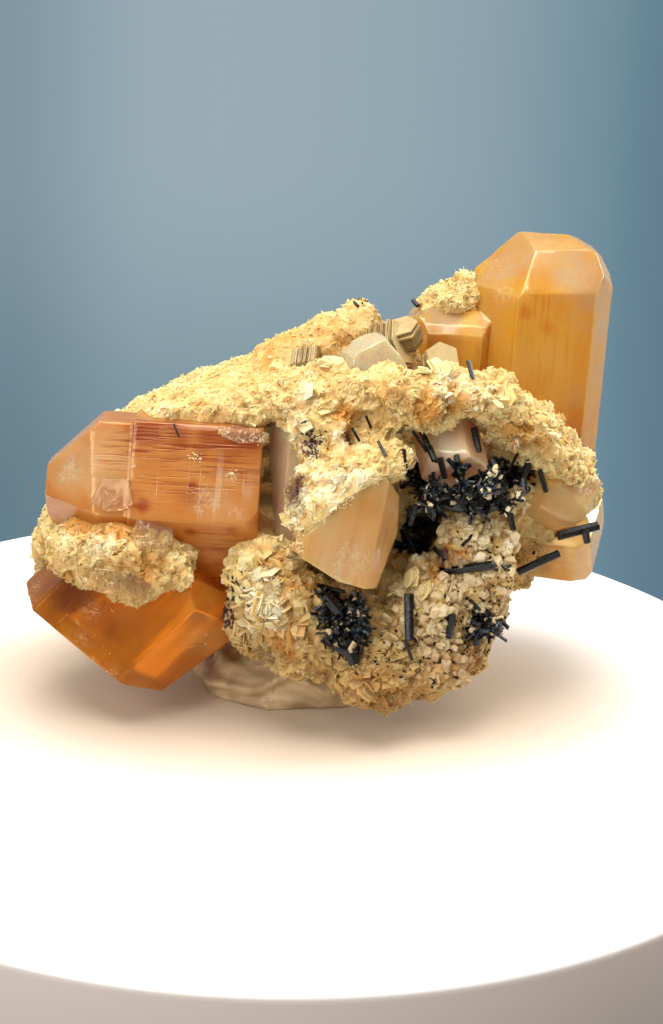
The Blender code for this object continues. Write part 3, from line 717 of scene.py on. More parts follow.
def makeScatterTree():
    tree = bpy.data.node_groups.new("scatter", "GeometryNodeTree")
    for title, kind in (
        ("Geometry", "NodeSocketGeometry"), ("Kinds", "NodeSocketCollection"),
        ("Where", "NodeSocketString"), ("PerSquareMm", "NodeSocketFloat"),
        ("Smallest", "NodeSocketVector"), ("Largest", "NodeSocketVector"),
        ("Tilt", "NodeSocketFloat"), ("Seed", "NodeSocketInt"),
    ):
        tree.interface.new_socket(title, in_out="INPUT", socket_type=kind)
    tree.interface.new_socket("Geometry", in_out="OUTPUT", socket_type="NodeSocketGeometry")
    given = addNode(tree, "NodeGroupInput").outputs
    where = addNode(tree, "GeometryNodeInputNamedAttribute", data_type="FLOAT")
    feed(tree, where.inputs["Name"], given["Where"])
    perSquareMetre = calc(tree, "MULTIPLY", given["PerSquareMm"], 1e6)
    density = calc(tree, "MULTIPLY", where.outputs["Attribute"], perSquareMetre)
    spread = addNode(tree, "GeometryNodeDistributePointsOnFaces", distribute_method="RANDOM")
    setInputs(tree, spread, {"Mesh": given["Geometry"], "Density": density, "Seed": given["Seed"]})
    lean = addNode(tree, "FunctionNodeRandomValue", data_type="FLOAT_VECTOR")
    for title, sign in (("Min", -1.0), ("Max", 1.0)):
        side = calc(tree, "MULTIPLY", given["Tilt"], sign)
        both = addNode(tree, "ShaderNodeCombineXYZ")
        setInputs(tree, both, {"X": side, "Y": side, "Z": sign * math.pi})
        feed(tree, lean.inputs[title], both.outputs[0])
    feed(tree, lean.inputs["Seed"], given["Seed"])
    turn = addNode(tree, "FunctionNodeEulerToRotation")
    feed(tree, turn.inputs[0], lean.outputs["Value"])
    turned = addNode(tree, "FunctionNodeRotateRotation", rotation_space="LOCAL")
    feed(tree, turned.inputs[0], spread.outputs["Rotation"])
    feed(tree, turned.inputs[1], turn.outputs[0])
    size = addNode(tree, "FunctionNodeRandomValue", data_type="FLOAT_VECTOR")
    setInputs(tree, size, {"Min": given["Smallest"], "Max": given["Largest"], "Seed": given["Seed"]})
    kinds = addNode(tree, "GeometryNodeCollectionInfo", transform_space="ORIGINAL")
    setInputs(tree, kinds, {"Collection": given["Kinds"], "Separate Children": True, "Reset Children": True})
    which = addNode(tree, "FunctionNodeRandomValue", data_type="INT")
    which.inputs[4].default_value = 0
    which.inputs[5].default_value = kindCount - 1
    feed(tree, which.inputs["Seed"], given["Seed"])
    stand = addNode(tree, "GeometryNodeInstanceOnPoints")
    setInputs(tree, stand, {
        "Points": spread.outputs["Points"],
        "Instance": kinds.outputs[0],
        "Pick Instance": True,
        "Instance Index": which.outputs[2],
        "Rotation": turned.outputs[0],
        "Scale": size.outputs["Value"],
    })
    tone = addNode(tree, "FunctionNodeRandomValue", data_type="FLOAT")
    keep = addNode(tree, "GeometryNodeStoreNamedAttribute", data_type="FLOAT", domain="INSTANCE")
    setInputs(tree, keep, {"Geometry": stand.outputs[0], "Name": "tone", "Value": tone.outputs[1]})
    real = addNode(tree, "GeometryNodeRealizeInstances")
    feed(tree, real.inputs[0], keep.outputs[0])
    feed(tree, addNode(tree, "NodeGroupOutput").inputs[0], real.outputs[0])
    return tree


scatterTree = makeScatterTree()


def scatter(name, host, kinds, material, where, perArea, smallest, largest, tilt, seed):
    piece = objectFrom(name, host.data.copy(), material)
    spread = piece.modifiers.new("scatter", "NODES")
    spread.node_group = scatterTree
    values = {
        "Kinds": kinds, "Where": where, "PerSquareMm": perArea, "Smallest": [v * mm for v in smallest],
        "Largest": [v * mm for v in largest], "Tilt": tilt, "Seed": seed,
    }
    for socket in scatterTree.interface.items_tree:
        if socket.in_out == "INPUT" and socket.name in values:
            spread[socket.identifier] = values[socket.name]
    bake(piece)
    wear(piece.data, material)
    piece.data.shade_flat()
    return piece


# Flakes and splinters of mica
flakes = {
    "cream": (0.80, 0.60, 0.27),
    "white": (0.94, 0.82, 0.54),
    "ochre": (0.62, 0.31, 0.07),
    "glow": 0.5,
    "bump": 0.03,
    "sets": {
        # where, sides, how narrow, thickness, per square millimetre, smallest, largest, tilt
        "mica_flakes": ("flaky", 4, 0.45, 0.16, 1.5, (0.18, 0.18, 0.4), (0.5, 0.46, 0.6), 0.8),
        "mica_splinters": ("flaky", 3, 0.25, 0.12, 2.0, (0.25, 0.25, 0.4), (0.7, 0.6, 0.6), 1.3),
        "mica_shards": ("shards", 5, 0.3, 0.08, 1.5, (0.6, 0.6, 0.8), (1.4, 1.3, 1.4), 1.0),
    },
}
print("flakes")
flakeMat = crustMaterial(
    "mica flakes", flakes["cream"], flakes["white"], flakes["ochre"], flakes["glow"], flakes["bump"]
)
mesh = crustPiece.data
zone = {name: valuesOf(mesh, name) for name in ("open", "puffy", "black", "dark", "albite")}
calmZone = np.clip(zone["puffy"] * 0.7 + zone["black"] + zone["dark"] + zone["albite"] * 0.6, 0, 1)
storeValue(mesh, "flaky", zone["open"] * (1 - calmZone))
storeValue(mesh, "grainy", zone["open"] * zone["albite"] * (1 - zone["dark"]))
storeValue(mesh, "needled", zone["open"] * np.clip(zone["black"] * (1 - zone["dark"] * 0.5), 0, 1))
keptKinds = []
for index, (name, given) in enumerate(flakes["sets"].items()):
    where, sides, narrow, thick, *amounts = given
    widths = [1.0 - (1.0 - narrow) * (i % 4) / 3 for i in range(kindCount)]
    shapes = [flakeShape(sides, wide, thick, i + 20 * index) for i, wide in enumerate(widths)]
    keptKinds.append(kindsOf(name + "_kinds", shapes))
    piece = scatter(name, crustPiece, keptKinds[-1], flakeMat, where, *amounts, 3 + index)
    settle(piece, "mica")


# Grains
grains = {
    "glow": 0.3,
    "bump": 0.03,
    "tilt": 1.2,
    "sets": {
        # zone, the cream, white and ochre tones, per square millimetre, smallest, largest
        "albite_grains": (
            "grainy", ((0.78, 0.62, 0.36), (0.95, 0.87, 0.64), (0.42, 0.24, 0.09)),
            1.3, (0.2, 0.2, 0.3), (1.05, 0.75, 1.2),
        ),
        "plum_grains": (
            "plum", ((0.12, 0.035, 0.03), (0.4, 0.24, 0.2), (0.05, 0.012, 0.01)),
            5.0, (0.16, 0.16, 0.16), (0.4, 0.34, 0.4),
        ),
        "pepper_grains": (
            "pepper", ((0.012, 0.008, 0.007), (0.05, 0.03, 0.02), (0.02, 0.008, 0.005)),
            2.0, (0.1, 0.1, 0.1), (0.34, 0.22, 0.42),
        ),
    },
}
print("grains")
grainKinds = kindsOf("grain_kinds", [grainShape(i) for i in range(kindCount)])
keptKinds.append(grainKinds)
grainMats = {}
for index, (name, given) in enumerate(grains["sets"].items()):
    where, tones, *amounts = given
    grainMat = crustMaterial(name.replace("_", " "), *tones, grains["glow"], grains["bump"])
    grainMats[name] = grainMat
    piece = scatter(name, crustPiece, grainKinds, grainMat, where, *amounts, grains["tilt"], 5 + index)
    settle(piece, "rock")


# Crystals
def spaceOf(axis):  # turns the crystal's own Z to its axis, and its own X to the side that faces the viewer
    along = Vector(axis).normalized()
    towards = Vector((0.0, -1.0, 0.0))
    towards = (towards - along * towards.dot(along)).normalized()
    aside = along.cross(towards)
    return Matrix((towards, aside, along)).transposed()


def refine(body, step, turn, centre):  # a grid of cuts, so that relief and zones have somewhere to sit
    for way in (turn.col[0], turn.col[1], turn.col[2]):
        reach = [(vert.co / mm - Vector(centre)).dot(way) for vert in body.verts]
        first = math.ceil(min(reach) / step)
        last = math.floor(max(reach) / step)
        for index in range(first, last + 1):
            everything = body.verts[:] + body.edges[:] + body.faces[:]
            spot = (Vector(centre) + way * index * step) * mm
            bmesh.ops.bisect_plane(body, geom=everything, plane_co=spot, plane_no=way, dist=0.01 * mm)
    bmesh.ops.triangulate(body, faces=body.faces[:])


def softenEdges(body, width):
    bmesh.ops.dissolve_limit(body, angle_limit=math.radians(1.5), verts=body.verts[:], edges=body.edges[:])
    bmesh.ops.remove_doubles(body, verts=body.verts[:], dist=width * 1.6 * mm)
    bmesh.ops.dissolve_degenerate(body, dist=0.01 * mm, edges=body.edges[:])
    inner = [edge for edge in body.edges if len(edge.link_faces) == 2]
    sharp = [edge for edge in inner if edge.calc_face_angle(0) > math.radians(6)]
    bmesh.ops.bevel(
        body, geom=sharp, offset=width * mm, segments=2, profile=0.5, affect="EDGES", material=-1,
        clamp_overlap=True,
    )
    bmesh.ops.recalc_face_normals(body, faces=body.faces[:])


def groove(mesh, settings, turn):
    # ridges along the crystal's axis, on its prism faces, and a gentle swell everywhere
    places, normals = coordinatesOf(mesh), normalsOf(mesh)
    along = turn.col[2]
    width, depth = settings["striae"]
    centre = Vector(settings["centre"])
    cut = []
    for place, normal in zip(places, normals):
        place, normal = Vector(place), Vector(normal)
        across = along.cross(normal)
        steep = across.length
        if steep > 0.05:
            across.normalize()
        local = place - centre
        beside = local.dot(across) / width
        face = round(normal.x * 3) * 1.7 + round(normal.z * 3) * 0.9
        ridge = noise.noise(Vector((beside, face, local.dot(along) * 0.04)))
        ridge += 0.5 * noise.noise(Vector((beside * 2.7, face + 9, local.dot(along) * 0.06)))
        swell = noise.noise(place * 0.35)
        cut.append((ridge * steep, swell))
    cut = np.array(cut)
    move = cut[:, 0] * depth + cut[:, 1] * settings["swell"]
    moveTo(mesh, places + normals * move[:, None])
    storeValue(mesh, "groove", np.clip(-cut[:, 0] * settings["grooveTint"], 0, 1))


usualCrystal = {  # what a crystal below doesn't say for itself
    "step": 0.75,  # of the grid of cuts
    "striae": (0.9, 0.03),  # width and depth
    "swell": 0.06,
    "grooveTint": 0.4,
    "cloud": 1.2,
    "lines": 0.8,
    "relief": 0.035,
    "ior": 1.62,
    "gloss": 0.32,
    "sheen": (1.0, 0.7, 0.36),
    "coat": 0.5,
    "clear": 0.75,
    "glow": 0.6,
    "soak": (0.97, 0.7, 0.05),  # the colour that gets through the crystal
}
crystals = {
    "tall_topaz": {
        "node": "topaz_tall", "slot": "topaz", "centre": (29.2, 9.5, 30.0), "axis": (0.01, 0.0, 1.0),
        "deep": (0.80, 0.30, 0.01), "body": (0.93, 0.51, 0.05), "pale": (0.76, 0.54, 0.29),
        "density": 38.0, "edge": 0.1, "clear": 0.62, "glow": 0.8, "lines": 0.4,
        "zones": {
            # painted reflection of the lamps on the dome's facets, and a painted highlight down the right
            # edge
            "pale": [
                (505, 265, 3.5, 0.9), (540, 245, 5, 0.7), (585, 275, 4.5, 1.0), (603, 325, 2.6, 1),
                (601, 370, 2.2, 0.8), (440, 318, 3, 0.8), (602, 380, 1.6, 0.5), (480, 320, 2.5, 0.5),
            ],
            "deep": [
                (526, 312, 0.7, 1), (548, 328, 0.9, 1), (540, 280, 2.6, 0.35), (500, 400, 5, 0.4),
                (570, 430, 5, 0.5), (450, 350, 3, 0.4),
            ],
            "frost": [(502, 296, 1.6, 0.8), (485, 330, 0.8, 0.4)],
            "crack": [(500, 298, 2.0, 0.5)],
            "striae": [(548, 350, 4, 0.4), (540, 310, 2, 0.5)],
        },
    },
    "striated_topaz": {
        "node": "topaz_striated", "slot": "topaz", "centre": (-13.0, -6.0, 25.0), "axis": (-1.0, 0.0, 0.015),
        "deep": (0.40, 0.05, 0.003), "body": (0.80, 0.32, 0.06), "pale": (0.86, 0.50, 0.20),
        "density": 60.0, "edge": 0.09, "striae": (0.5, 0.03), "step": 0.5, "lines": 0.4, "clear": 0.6,
        "coat": 0.25,
        "zones": {
            "pale": [
                (75, 465, 3.5, 1.0), (100, 480, 3, 1.0), (98, 445, 3.4, 1.0), (120, 462, 1.6, 0.9),
                (215, 500, 2.5, 0.4), (118, 440, 1.4, 0.7), (215, 552, 2.4, 0.45),
            ],
            "deep": [
                (150, 432, 1.8, 0.8), (178, 432, 2.0, 0.8), (205, 434, 2.0, 0.8), (232, 440, 1.8, 0.6),
                (252, 442, 1.5, 0.6), (190, 531, 0.8, 0.8), (232, 531, 0.8, 0.7), (192, 486, 0.8, 0.6),
                (142, 506, 0.8, 0.9),
            ],
            "frost": [
                (70, 472, 1.3, 1.0), (207, 503, 1.4, 0.7), (235, 512, 1.0, 0.5), (231, 476, 0.8, 0.9),
            ],
            "striae": [
                (145, 438, 2.5, 1), (175, 438, 2.5, 1), (205, 440, 2.5, 1), (240, 440, 2.5, 1),
                (115, 455, 2.0, 0.7), (160, 478, 3.0, 0.5), (200, 480, 3.5, 0.5), (240, 480, 3.0, 0.5),
                (215, 540, 3.0, 0.4), (215, 560, 3.0, 0.2),
            ],
            "cleave": [(172, 480, 2.5, 0.3), (214, 490, 3.5, 0.3), (240, 490, 2.0, 0.2)],
            "crack": [(205, 500, 2.6, 0.6), (70, 470, 2.0, 0.6), (132, 470, 0.8, 0.6)],
        },
    },
    "lower_topaz": {
        "node": "topaz_lower", "slot": "topaz", "centre": (-14.5, -9.0, 12.0), "axis": (-0.69, -0.06, -0.72),
        "deep": (0.24, 0.03, 0.002), "body": (0.74, 0.25, 0.004), "pale": (0.84, 0.46, 0.10),
        "density": 110.0, "edge": 0.14, "soak": (0.98, 0.66, 0.01), "lines": 0.2, "cloud": 1.0, "coat": 0.2,
        "sheen": (1.0, 0.6, 0.2),
        "zones": {
            "deep": [(70, 595, 2.6, 0.8), (105, 615, 3, 0.7), (50, 588, 1.5, 0.5), (130, 615, 2, 0.4)],
            "pale": [(205, 590, 3, 0.7), (208, 640, 2.2, 0.7), (36, 582, 1.2, 0.8), (140, 680, 2, 0.4)],
            "frost": [(35, 588, 0.8, 0.9), (90, 612, 1.2, 0.5), (82, 640, 0.9, 0.6), (112, 672, 0.9, 0.7)],
            "crack": [(90, 612, 2.5, 0.8), (40, 590, 1.6, 0.7), (110, 670, 2.5, 0.6), (205, 640, 2.4, 0.6)],
        },
    },
    "centre_topaz": {
        "node": "topaz_centre", "slot": "pale_topaz", "centre": (7.6, -13.0, 24.5),
        "axis": (-0.16, -0.1, -1.0),
        "deep": (0.70, 0.32, 0.06), "body": (0.88, 0.50, 0.18), "pale": (0.90, 0.64, 0.34),
        "density": 20.0, "edge": 0.12, "clear": 0.5, "glow": 0.8,
        "zones": {
            "pale": [(345, 565, 3, 0.7), (330, 540, 2, 0.4)],
            "deep": [(388, 520, 1.2, 0.6), (370, 505, 1.5, 0.5)],
            "frost": [(350, 560, 2.4, 0.5)],
            "striae": [(385, 540, 2.5, 0.5), (350, 560, 4, 0.3)],
        },
    },
    "right_topaz": {
        "node": "topaz_right", "slot": "topaz", "centre": (31.0, 1.5, 19.8), "axis": (0.93, -0.3, 0.02),
        "deep": (0.70, 0.34, 0.05), "body": (0.96, 0.66, 0.27), "pale": (1.0, 0.82, 0.46),
        "density": 28.0, "edge": 0.14, "clear": 0.62, "glow": 0.9,
        "zones": {
            "pale": [(570, 495, 3, 0.8)], "deep": [(560, 570, 2, 0.6), (575, 560, 2, 0.4)],
            "frost": [(585, 490, 1.0, 1.0)], "crack": [(585, 490, 1.2, 0.7)],
        },
    },
    "pink_topaz": {
        "node": "topaz_pink", "slot": "pale_topaz", "centre": (18.4, -6.5, 31.4), "axis": (0.15, -0.6, -0.5),
        "deep": (0.9, 0.46, 0.26), "body": (1.0, 0.62, 0.40), "pale": (1.0, 0.74, 0.54),
        "density": 2.0, "edge": 0.15, "clear": 0.0, "glow": 0.9, "gloss": 0.5, "sheen": (1.0, 0.9, 0.8),
        "zones": {
            "pale": [(445, 440, 2, 0.7)], "frost": [(440, 438, 1.5, 0.6)], "crack": [(445, 440, 3, 1)],
        },
    },
    "smoky_quartz_crystal": {
        "node": "smoky_quartz", "slot": "smoky_quartz", "centre": (1.3, -4.8, 27.0),
        "axis": (0.06, 0.05, 1.0),
        "deep": (0.36, 0.2, 0.1), "body": (0.88, 0.62, 0.38), "pale": (0.96, 0.78, 0.56),
        "density": 15.0, "edge": 0.1, "ior": 1.54, "soak": (0.7, 0.55, 0.4), "clear": 0.3,
        "sheen": (1.0, 0.85, 0.7),
        "zones": {"pale": [(272, 450, 1.5, 0.5)], "deep": [(270, 505, 1.5, 0.4)]},
    },
    "clear_quartz_chunk": {
        "node": "quartz_clear", "slot": "clear_quartz", "centre": (9.2, -4.2, 39.2),
        "axis": (0.35, -0.4, 0.85),
        "deep": (0.5, 0.36, 0.18), "body": (0.84, 0.70, 0.42), "pale": (1.0, 0.94, 0.76), "gloss": 0.5,
        "density": 90.0, "edge": 0.1, "ior": 1.5, "clear": 0.5, "coat": 0.4, "striae": (0.9, 0.15),
        "swell": 0.3, "relief": 0.1, "sheen": (1.0, 0.95, 0.85),
        "zones": {"frost": [(370, 388, 1.0, 0.7)], "crack": [(365, 375, 4, 0.6)]},
    },
}


def makeCrystal(name, given):
    settings = {**usualCrystal, **given}
    turn = spaceOf(settings["axis"])
    body = mergedCopy(settings["node"])
    softenEdges(body, settings["edge"])
    refine(body, settings["step"], turn, settings["centre"])
    piece = objectFrom(name, body, crystalMaterial(name.replace("_", " "), settings, turn))
    groove(piece.data, settings, turn)
    paintZones(piece.data, settings["zones"], treeOf([nodes[settings["node"]].data]))
    piece.data.shade_smooth()
    piece.data.set_sharp_from_angle(angle=math.radians(30))
    return settle(piece, settings["slot"], settings["node"])


print("crystals")
crystalPieces = [makeCrystal(name, given) for name, given in crystals.items()]


def joinedHost(pieces, zones):  # a surface for the scatter to stand on
    body = bmesh.new()
    for piece in pieces:
        body.from_mesh(piece.data)
    host = objectFrom("host", body, flakeMat)
    paintZones(host.data, zones)
    return host


# Mica grown on the crystals
tufts = {
    "perSquareMm": 40.0,
    "smallest": (0.1, 0.1, 0.3),
    "largest": (0.32, 0.28, 0.45),
    "tilt": 1.4,
    "zones": {
        "tufted": [
            (195, 458, 0.45, 1.0), (231, 476, 0.35, 1.0), (262, 500, 0.5, 0.9), (262, 470, 0.4, 0.9),
            (262, 440, 0.5, 0.9), (335, 490, 1.6, 1), (350, 480, 1.4, 1), (318, 505, 1.2, 1),
            (300, 525, 1.0, 0.9), (365, 482, 1.0, 0.8), (75, 575, 1.2, 0.7), (110, 592, 1.2, 0.7),
            (155, 590, 1.2, 0.8), (60, 545, 1.2, 0.7), (596, 500, 1, 0.5), (178, 572, 1.0, 0.9),
            (300, 545, 0.8, 0.6), (440, 415, 1.0, 0.6), (36, 560, 1.0, 0.6), (185, 580, 1.0, 0.7),
        ],
    },
}
host = joinedHost(crystalPieces, tufts["zones"])
tuftPiece = scatter(
    "mica_tufts", host, keptKinds[0], flakeMat, "tufted", tufts["perSquareMm"], tufts["smallest"],
    tufts["largest"], tufts["tilt"], 21,
)
bpy.data.objects.remove(host)
settle(tuftPiece, "mica")


# Tourmaline
tourmaline = {
    "sprays": [name for name in nodes if name.startswith("tourmaline")],
    "needles": [name for name in nodes if name.startswith("needle")],
    "bevel": 0.1,
    "shrink": 0.3,  # the sprays' own prisms, under the small ones that grow on them
    "onSprays": 4.6,  # small prisms per square millimetre
    "onRock": 8.0,
    "smallest": (0.14, 0.14, 0.5),
    "largest": (0.6, 0.5, 1.7),
    "tilt": 1.2,
    "grainsOnSprays": (0.8, (0.2, 0.2, 0.3), (0.6, 0.45, 0.9), 1.1),  # per mm2, smallest, largest, tilt
    "strayRise": 0.4,  # how far a stray's middle stands off the surface, as a share of its thickness
    "strayFall": 0.8,  # how far behind its other end one end may lie
    # from spot to spot, and how thick
    "strays": [
        (412, 430, 427, 452, 0.35), (474, 428, 479, 452, 0.75), (404, 449, 406, 468, 0.4),
        (378, 441, 386, 456, 0.35), (440, 458, 445, 478, 0.7), (518, 453, 509, 470, 0.35),
        (530, 459, 520, 486, 0.8), (510, 514, 513, 529, 0.8), (462, 546, 473, 535, 0.45),
        (452, 614, 449, 638, 0.9), (585, 531, 587, 542, 0.9), (468, 361, 473, 379, 0.5),
        (174, 424, 179, 437, 0.2), (430, 446, 437, 462, 0.5), (456, 455, 462, 480, 0.6),
        (492, 460, 500, 482, 0.7), (540, 470, 546, 492, 0.6), (416, 505, 410, 525, 0.6),
        (404, 530, 414, 552, 0.8), (325, 594, 340, 612, 1.6), (318, 585, 345, 592, 0.5),
        (345, 640, 355, 664, 1.5), (480, 622, 476, 645, 0.9), (434, 548, 446, 560, 0.6),
        (366, 416, 371, 428, 0.3), (352, 428, 360, 442, 0.35), (418, 306, 413, 300, 0.6),
        (354, 302, 358, 306, 0.4), (500, 565, 512, 572, 0.3), (537, 560, 548, 555, 0.4),
        (405, 640, 412, 660, 0.4), (470, 600, 480, 610, 0.4),
    ],
}
print("tourmaline")
tourmalineMat = tourmalineMaterial()
for name in tourmaline["needles"]:
    body = mergedCopy(name)
    softenEdges(body, tourmaline["bevel"])
    piece = objectFrom(name + "_prisms", body, tourmalineMat)
    piece.data.shade_flat()
    settle(piece, "tourmaline", name)
needleKinds = kindsOf("needle_kinds", [prismShape(4 + i % 3, 0.5, i) for i in range(kindCount)])
keptKinds.append(needleKinds)
for name in tourmaline["sprays"]:
    body = mergedCopy(name)
    bmesh.ops.recalc_face_normals(body, faces=body.faces[:])
    for vert in body.verts:
        vert.co -= vert.normal * tourmaline["shrink"] * mm
    core = objectFrom(name + "_core", body, tourmalineMat)
    core.data.shade_flat()
    settle(core, "tourmaline", name)
    rise = coordinatesOf(core.data)[:, 2]
    storeValue(core.data, "everywhere", np.clip((rise - rise.min()) / np.ptp(rise) * 2.2 - 0.2, 0.1, 1.0))
    small = scatter(
        name + "_prisms", core, needleKinds, tourmalineMat, "everywhere", tourmaline["onSprays"],
        tourmaline["smallest"], tourmaline["largest"], tourmaline["tilt"], 31,
    )
    settle(small, "tourmaline")
    bits = scatter(
        name + "_grains", core, grainKinds, grainMats["albite_grains"], "everywhere",
        *tourmaline["grainsOnSprays"], 33,
    )
    settle(bits, "rock")
thicket = scatter(
    "tourmaline_thicket", crustPiece, needleKinds, tourmalineMat, "needled", tourmaline["onRock"],
    tourmaline["smallest"], tourmaline["largest"], tourmaline["tilt"], 7,
)
settle(thicket, "tourmaline")

strays = bmesh.new()
for x, y, endX, endY, thick in tourmaline["strays"]:
    ends = []
    for spot in ((x, y), (endX, endY)):
        hit = dropSpot(allSolids, *spot)
        start, way = rayThrough(*spot)
        ends.append([start, way, (hit[0] - start).length if hit else 1.0])
    nearer = min(ends[0][2], ends[1][2])
    if nearer > 0.9:
        print("needle missed:", x, y)
        continue
    # both ends lie on the solids, but neither far behind the other
    furthest = nearer + tourmaline["strayFall"] * mm
    rise = thick * tourmaline["strayRise"] * mm
    first, last = (start + way * (min(deep, furthest) - rise) for start, way, deep in ends)
    turn = (last - first).to_track_quat("Z", "Y").to_matrix().to_4x4()
    bmesh.ops.create_cone(
        strays, cap_ends=True, segments=6, radius1=thick / 2 * mm, radius2=thick * 0.46 * mm,
        depth=(last - first).length, matrix=Matrix.Translation((first + last) / 2) @ turn,
    )
strayPiece = objectFrom("tourmaline_strays", strays, tourmalineMat)
strayPiece.data.shade_flat()
settle(strayPiece, "tourmaline")


# Plates of mica and of clear quartz
plateTones = {
    "cream": (0.80, 0.62, 0.30),
    "white": (0.93, 0.84, 0.58),
    "ochre": (0.62, 0.36, 0.10),
    "glow": 0.6,
    "depth": 0.06,  # of the bump
}
plates = {
    # x, y, width, height, thickness, sides, spin, tilt back, tilt aside, how far out
    "mica_plates": [
        (436, 366, 2.6, 2.8, 0.6, 5, 10, 35, 25, 0.2), (450, 371, 2.2, 2.0, 0.5, 5, 40, 20, -35, 0.3),
        (424, 372, 1.8, 2.0, 0.5, 5, 20, 40, 30, 0.1), (332, 361, 3.8, 2.6, 0.4, 8, 5, 25, 10, -0.2),
        (400, 566, 2.6, 2.3, 0.7, 8, 0, 30, 30, 0.2), (414, 578, 3.0, 2.4, 0.8, 8, 30, 20, -35, 0.3),
        (398, 588, 2.4, 2.0, 0.7, 8, 60, 40, 20, 0.3), (424, 592, 2.2, 1.8, 0.6, 7, 10, 30, -40, 0.2),
        (352, 658, 3.4, 4.6, 0.5, 5, 20, 30, 60, -0.2), (368, 692, 3.6, 3.0, 0.4, 6, 5, 55, 35, -0.3),
        (262, 604, 3.2, 4.8, 0.5, 5, -20, 25, 50, -0.2),
    ],
    "clear_plates": [
        (152, 537, 4.8, 5.0, 0.7, 9, 15, 5, 10, 0.5), (112, 496, 5.0, 4.4, 0.7, 5, 30, 10, -10, 0.2),
        (112, 582, 10.0, 3.6, 1.0, 11, -14, 20, 0, 0.3), (240, 434, 6.6, 1.8, 0.3, 6, -6, 10, 0, 0.1),
        (512, 442, 2.0, 2.6, 0.6, 6, 20, 20, 20, 0.2),
    ],
}


def facingSpot(x, y, out):  # a frame on the surface that the camera sees, turned to the camera
    hit = dropSpot(allSolids, x, y)
    if hit is None:
        print("plate missed:", x, y)
        return None
    point, normal = hit
    up = (normal * 0.5 - rayThrough(x, y)[1] * 0.5).normalized()
    right = (Vector((1, 0, 0)) - up * up.x).normalized()
    turn = Matrix((right, up.cross(right), up)).transposed()
    return Matrix.Translation(point + up * out * mm) @ turn.to_4x4()


def addPlate(whole, given, draw, layers):
    x, y, wide, high, thick, sides, spin, back, aside, out = given
    spot = facingSpot(x, y, out)
    if spot is None:
        return
    lean = Matrix.Rotation(math.radians(-back), 4, "X") @ Matrix.Rotation(math.radians(aside), 4, "Y")
    place = spot @ Matrix.Rotation(math.radians(spin), 4, "Z") @ lean
    for layer in range(layers):
        slip = Vector((draw.uniform(-0.2, 0.2), draw.uniform(-0.2, 0.2), thick * layer / layers)) * mm
        share = 1.0 - 0.12 * layer * (layers > 1)
        where = place @ Matrix.Translation(slip)
        addSheet(whole, where, wide * share, high * share, thick / layers * 0.8, sides, draw)


def addSheet(whole, place, wide, high, thick, sides, draw):
    body = bmesh.new()
    bmesh.ops.create_circle(body, segments=sides, radius=1.0, cap_ends=True)
    for vert in body.verts:
        vert.co *= draw.uniform(0.72, 1.12)
        vert.co.x *= wide / 2 * mm
        vert.co.y *= high / 2 * mm
    thicken(body, thick * mm)
    bmesh.ops.translate(body, verts=body.verts[:], vec=(0, 0, -thick * 0.5 * mm))
    bmesh.ops.bevel(
        body, geom=body.edges[:], offset=thick * 0.22 * mm, segments=2, profile=0.5, affect="EDGES",
        material=-1, clamp_overlap=True,
    )
    bmesh.ops.transform(body, matrix=place, verts=body.verts[:])
    joinInto(whole, body)


def glassMaterial():
    material, tree, shader = newMaterial("clear plates")
    space = objectSpace(tree)
    setInputs(tree, shader, {
        "Base Color": (0.96, 0.80, 0.52),
        "Roughness": 0.05,
        "IOR": 1.5,
        "Transmission Weight": 0.95,
        "Specular Tint": (1.0, 0.85, 0.62),
    })
    bumpFrom(tree, shader, calc(tree, "ADD", noiseOf(tree, space, 0.8), tiltedCells(tree, space, 0.7)), 0.3)
    return material


print("plates")
plateMat = crustMaterial("mica plates", **plateTones)
for name, group in plates.items():
    draw = random.Random(11)
    whole = bmesh.new()
    for given in group:
        addPlate(whole, given, draw, 3 if name == "mica_plates" else 1)
    piece = objectFrom(name, whole, plateMat if name == "mica_plates" else glassMaterial())
    piece.data.shade_flat()
    settle(piece, "mica" if name == "mica_plates" else "clear_quartz")


# Mica books: stacks of sheets
books = {
    # centre, axis, radius, depth
    "mica_book_top": [
        ((11.6, 0.2, 41.0), (0.66, -0.28, 0.34), 2.75, 3.3),
        ((12.9, 0.8, 42.2), (-0.3, -0.3, 0.9), 2.1, 2.6),
    ],
    "mica_book_middle": [((2.6, -1.2, 38.6), (0.92, -0.2, 0.2), 2.15, 3.0)],
    "mica_book_small": [((17.0, -2.6, 40.2), (0.2, -0.72, 0.5), 1.85, 2.2)],
}
sheets = {"thick": 0.11, "gap": 0.06, "slip": 0.12}


def micaMaterial():
    material, tree, shader = newMaterial("mica book")
    space = objectSpace(tree)
    tone = attributeOf(tree, "tone")
    body = blendColours(tree, tone, (0.24, 0.14, 0.05), (0.66, 0.5, 0.24))
    cloud = rampOf(tree, noiseOf(tree, space, 0.6), 0.4, 0.7)
    body = blendColours(tree, calc(tree, "MULTIPLY", cloud, 0.6), body, (0.5, 0.32, 0.1))
    setInputs(tree, shader, {
        "Base Color": body,
        "Roughness": calc(tree, "MULTIPLY_ADD", noiseOf(tree, space, 2.0), 0.25, 0.12),
        "IOR": 1.58,
        "Transmission Weight": 0.2,
    })
    bumpFrom(tree, shader, noiseOf(tree, space, 1.4), 0.06)
    return material


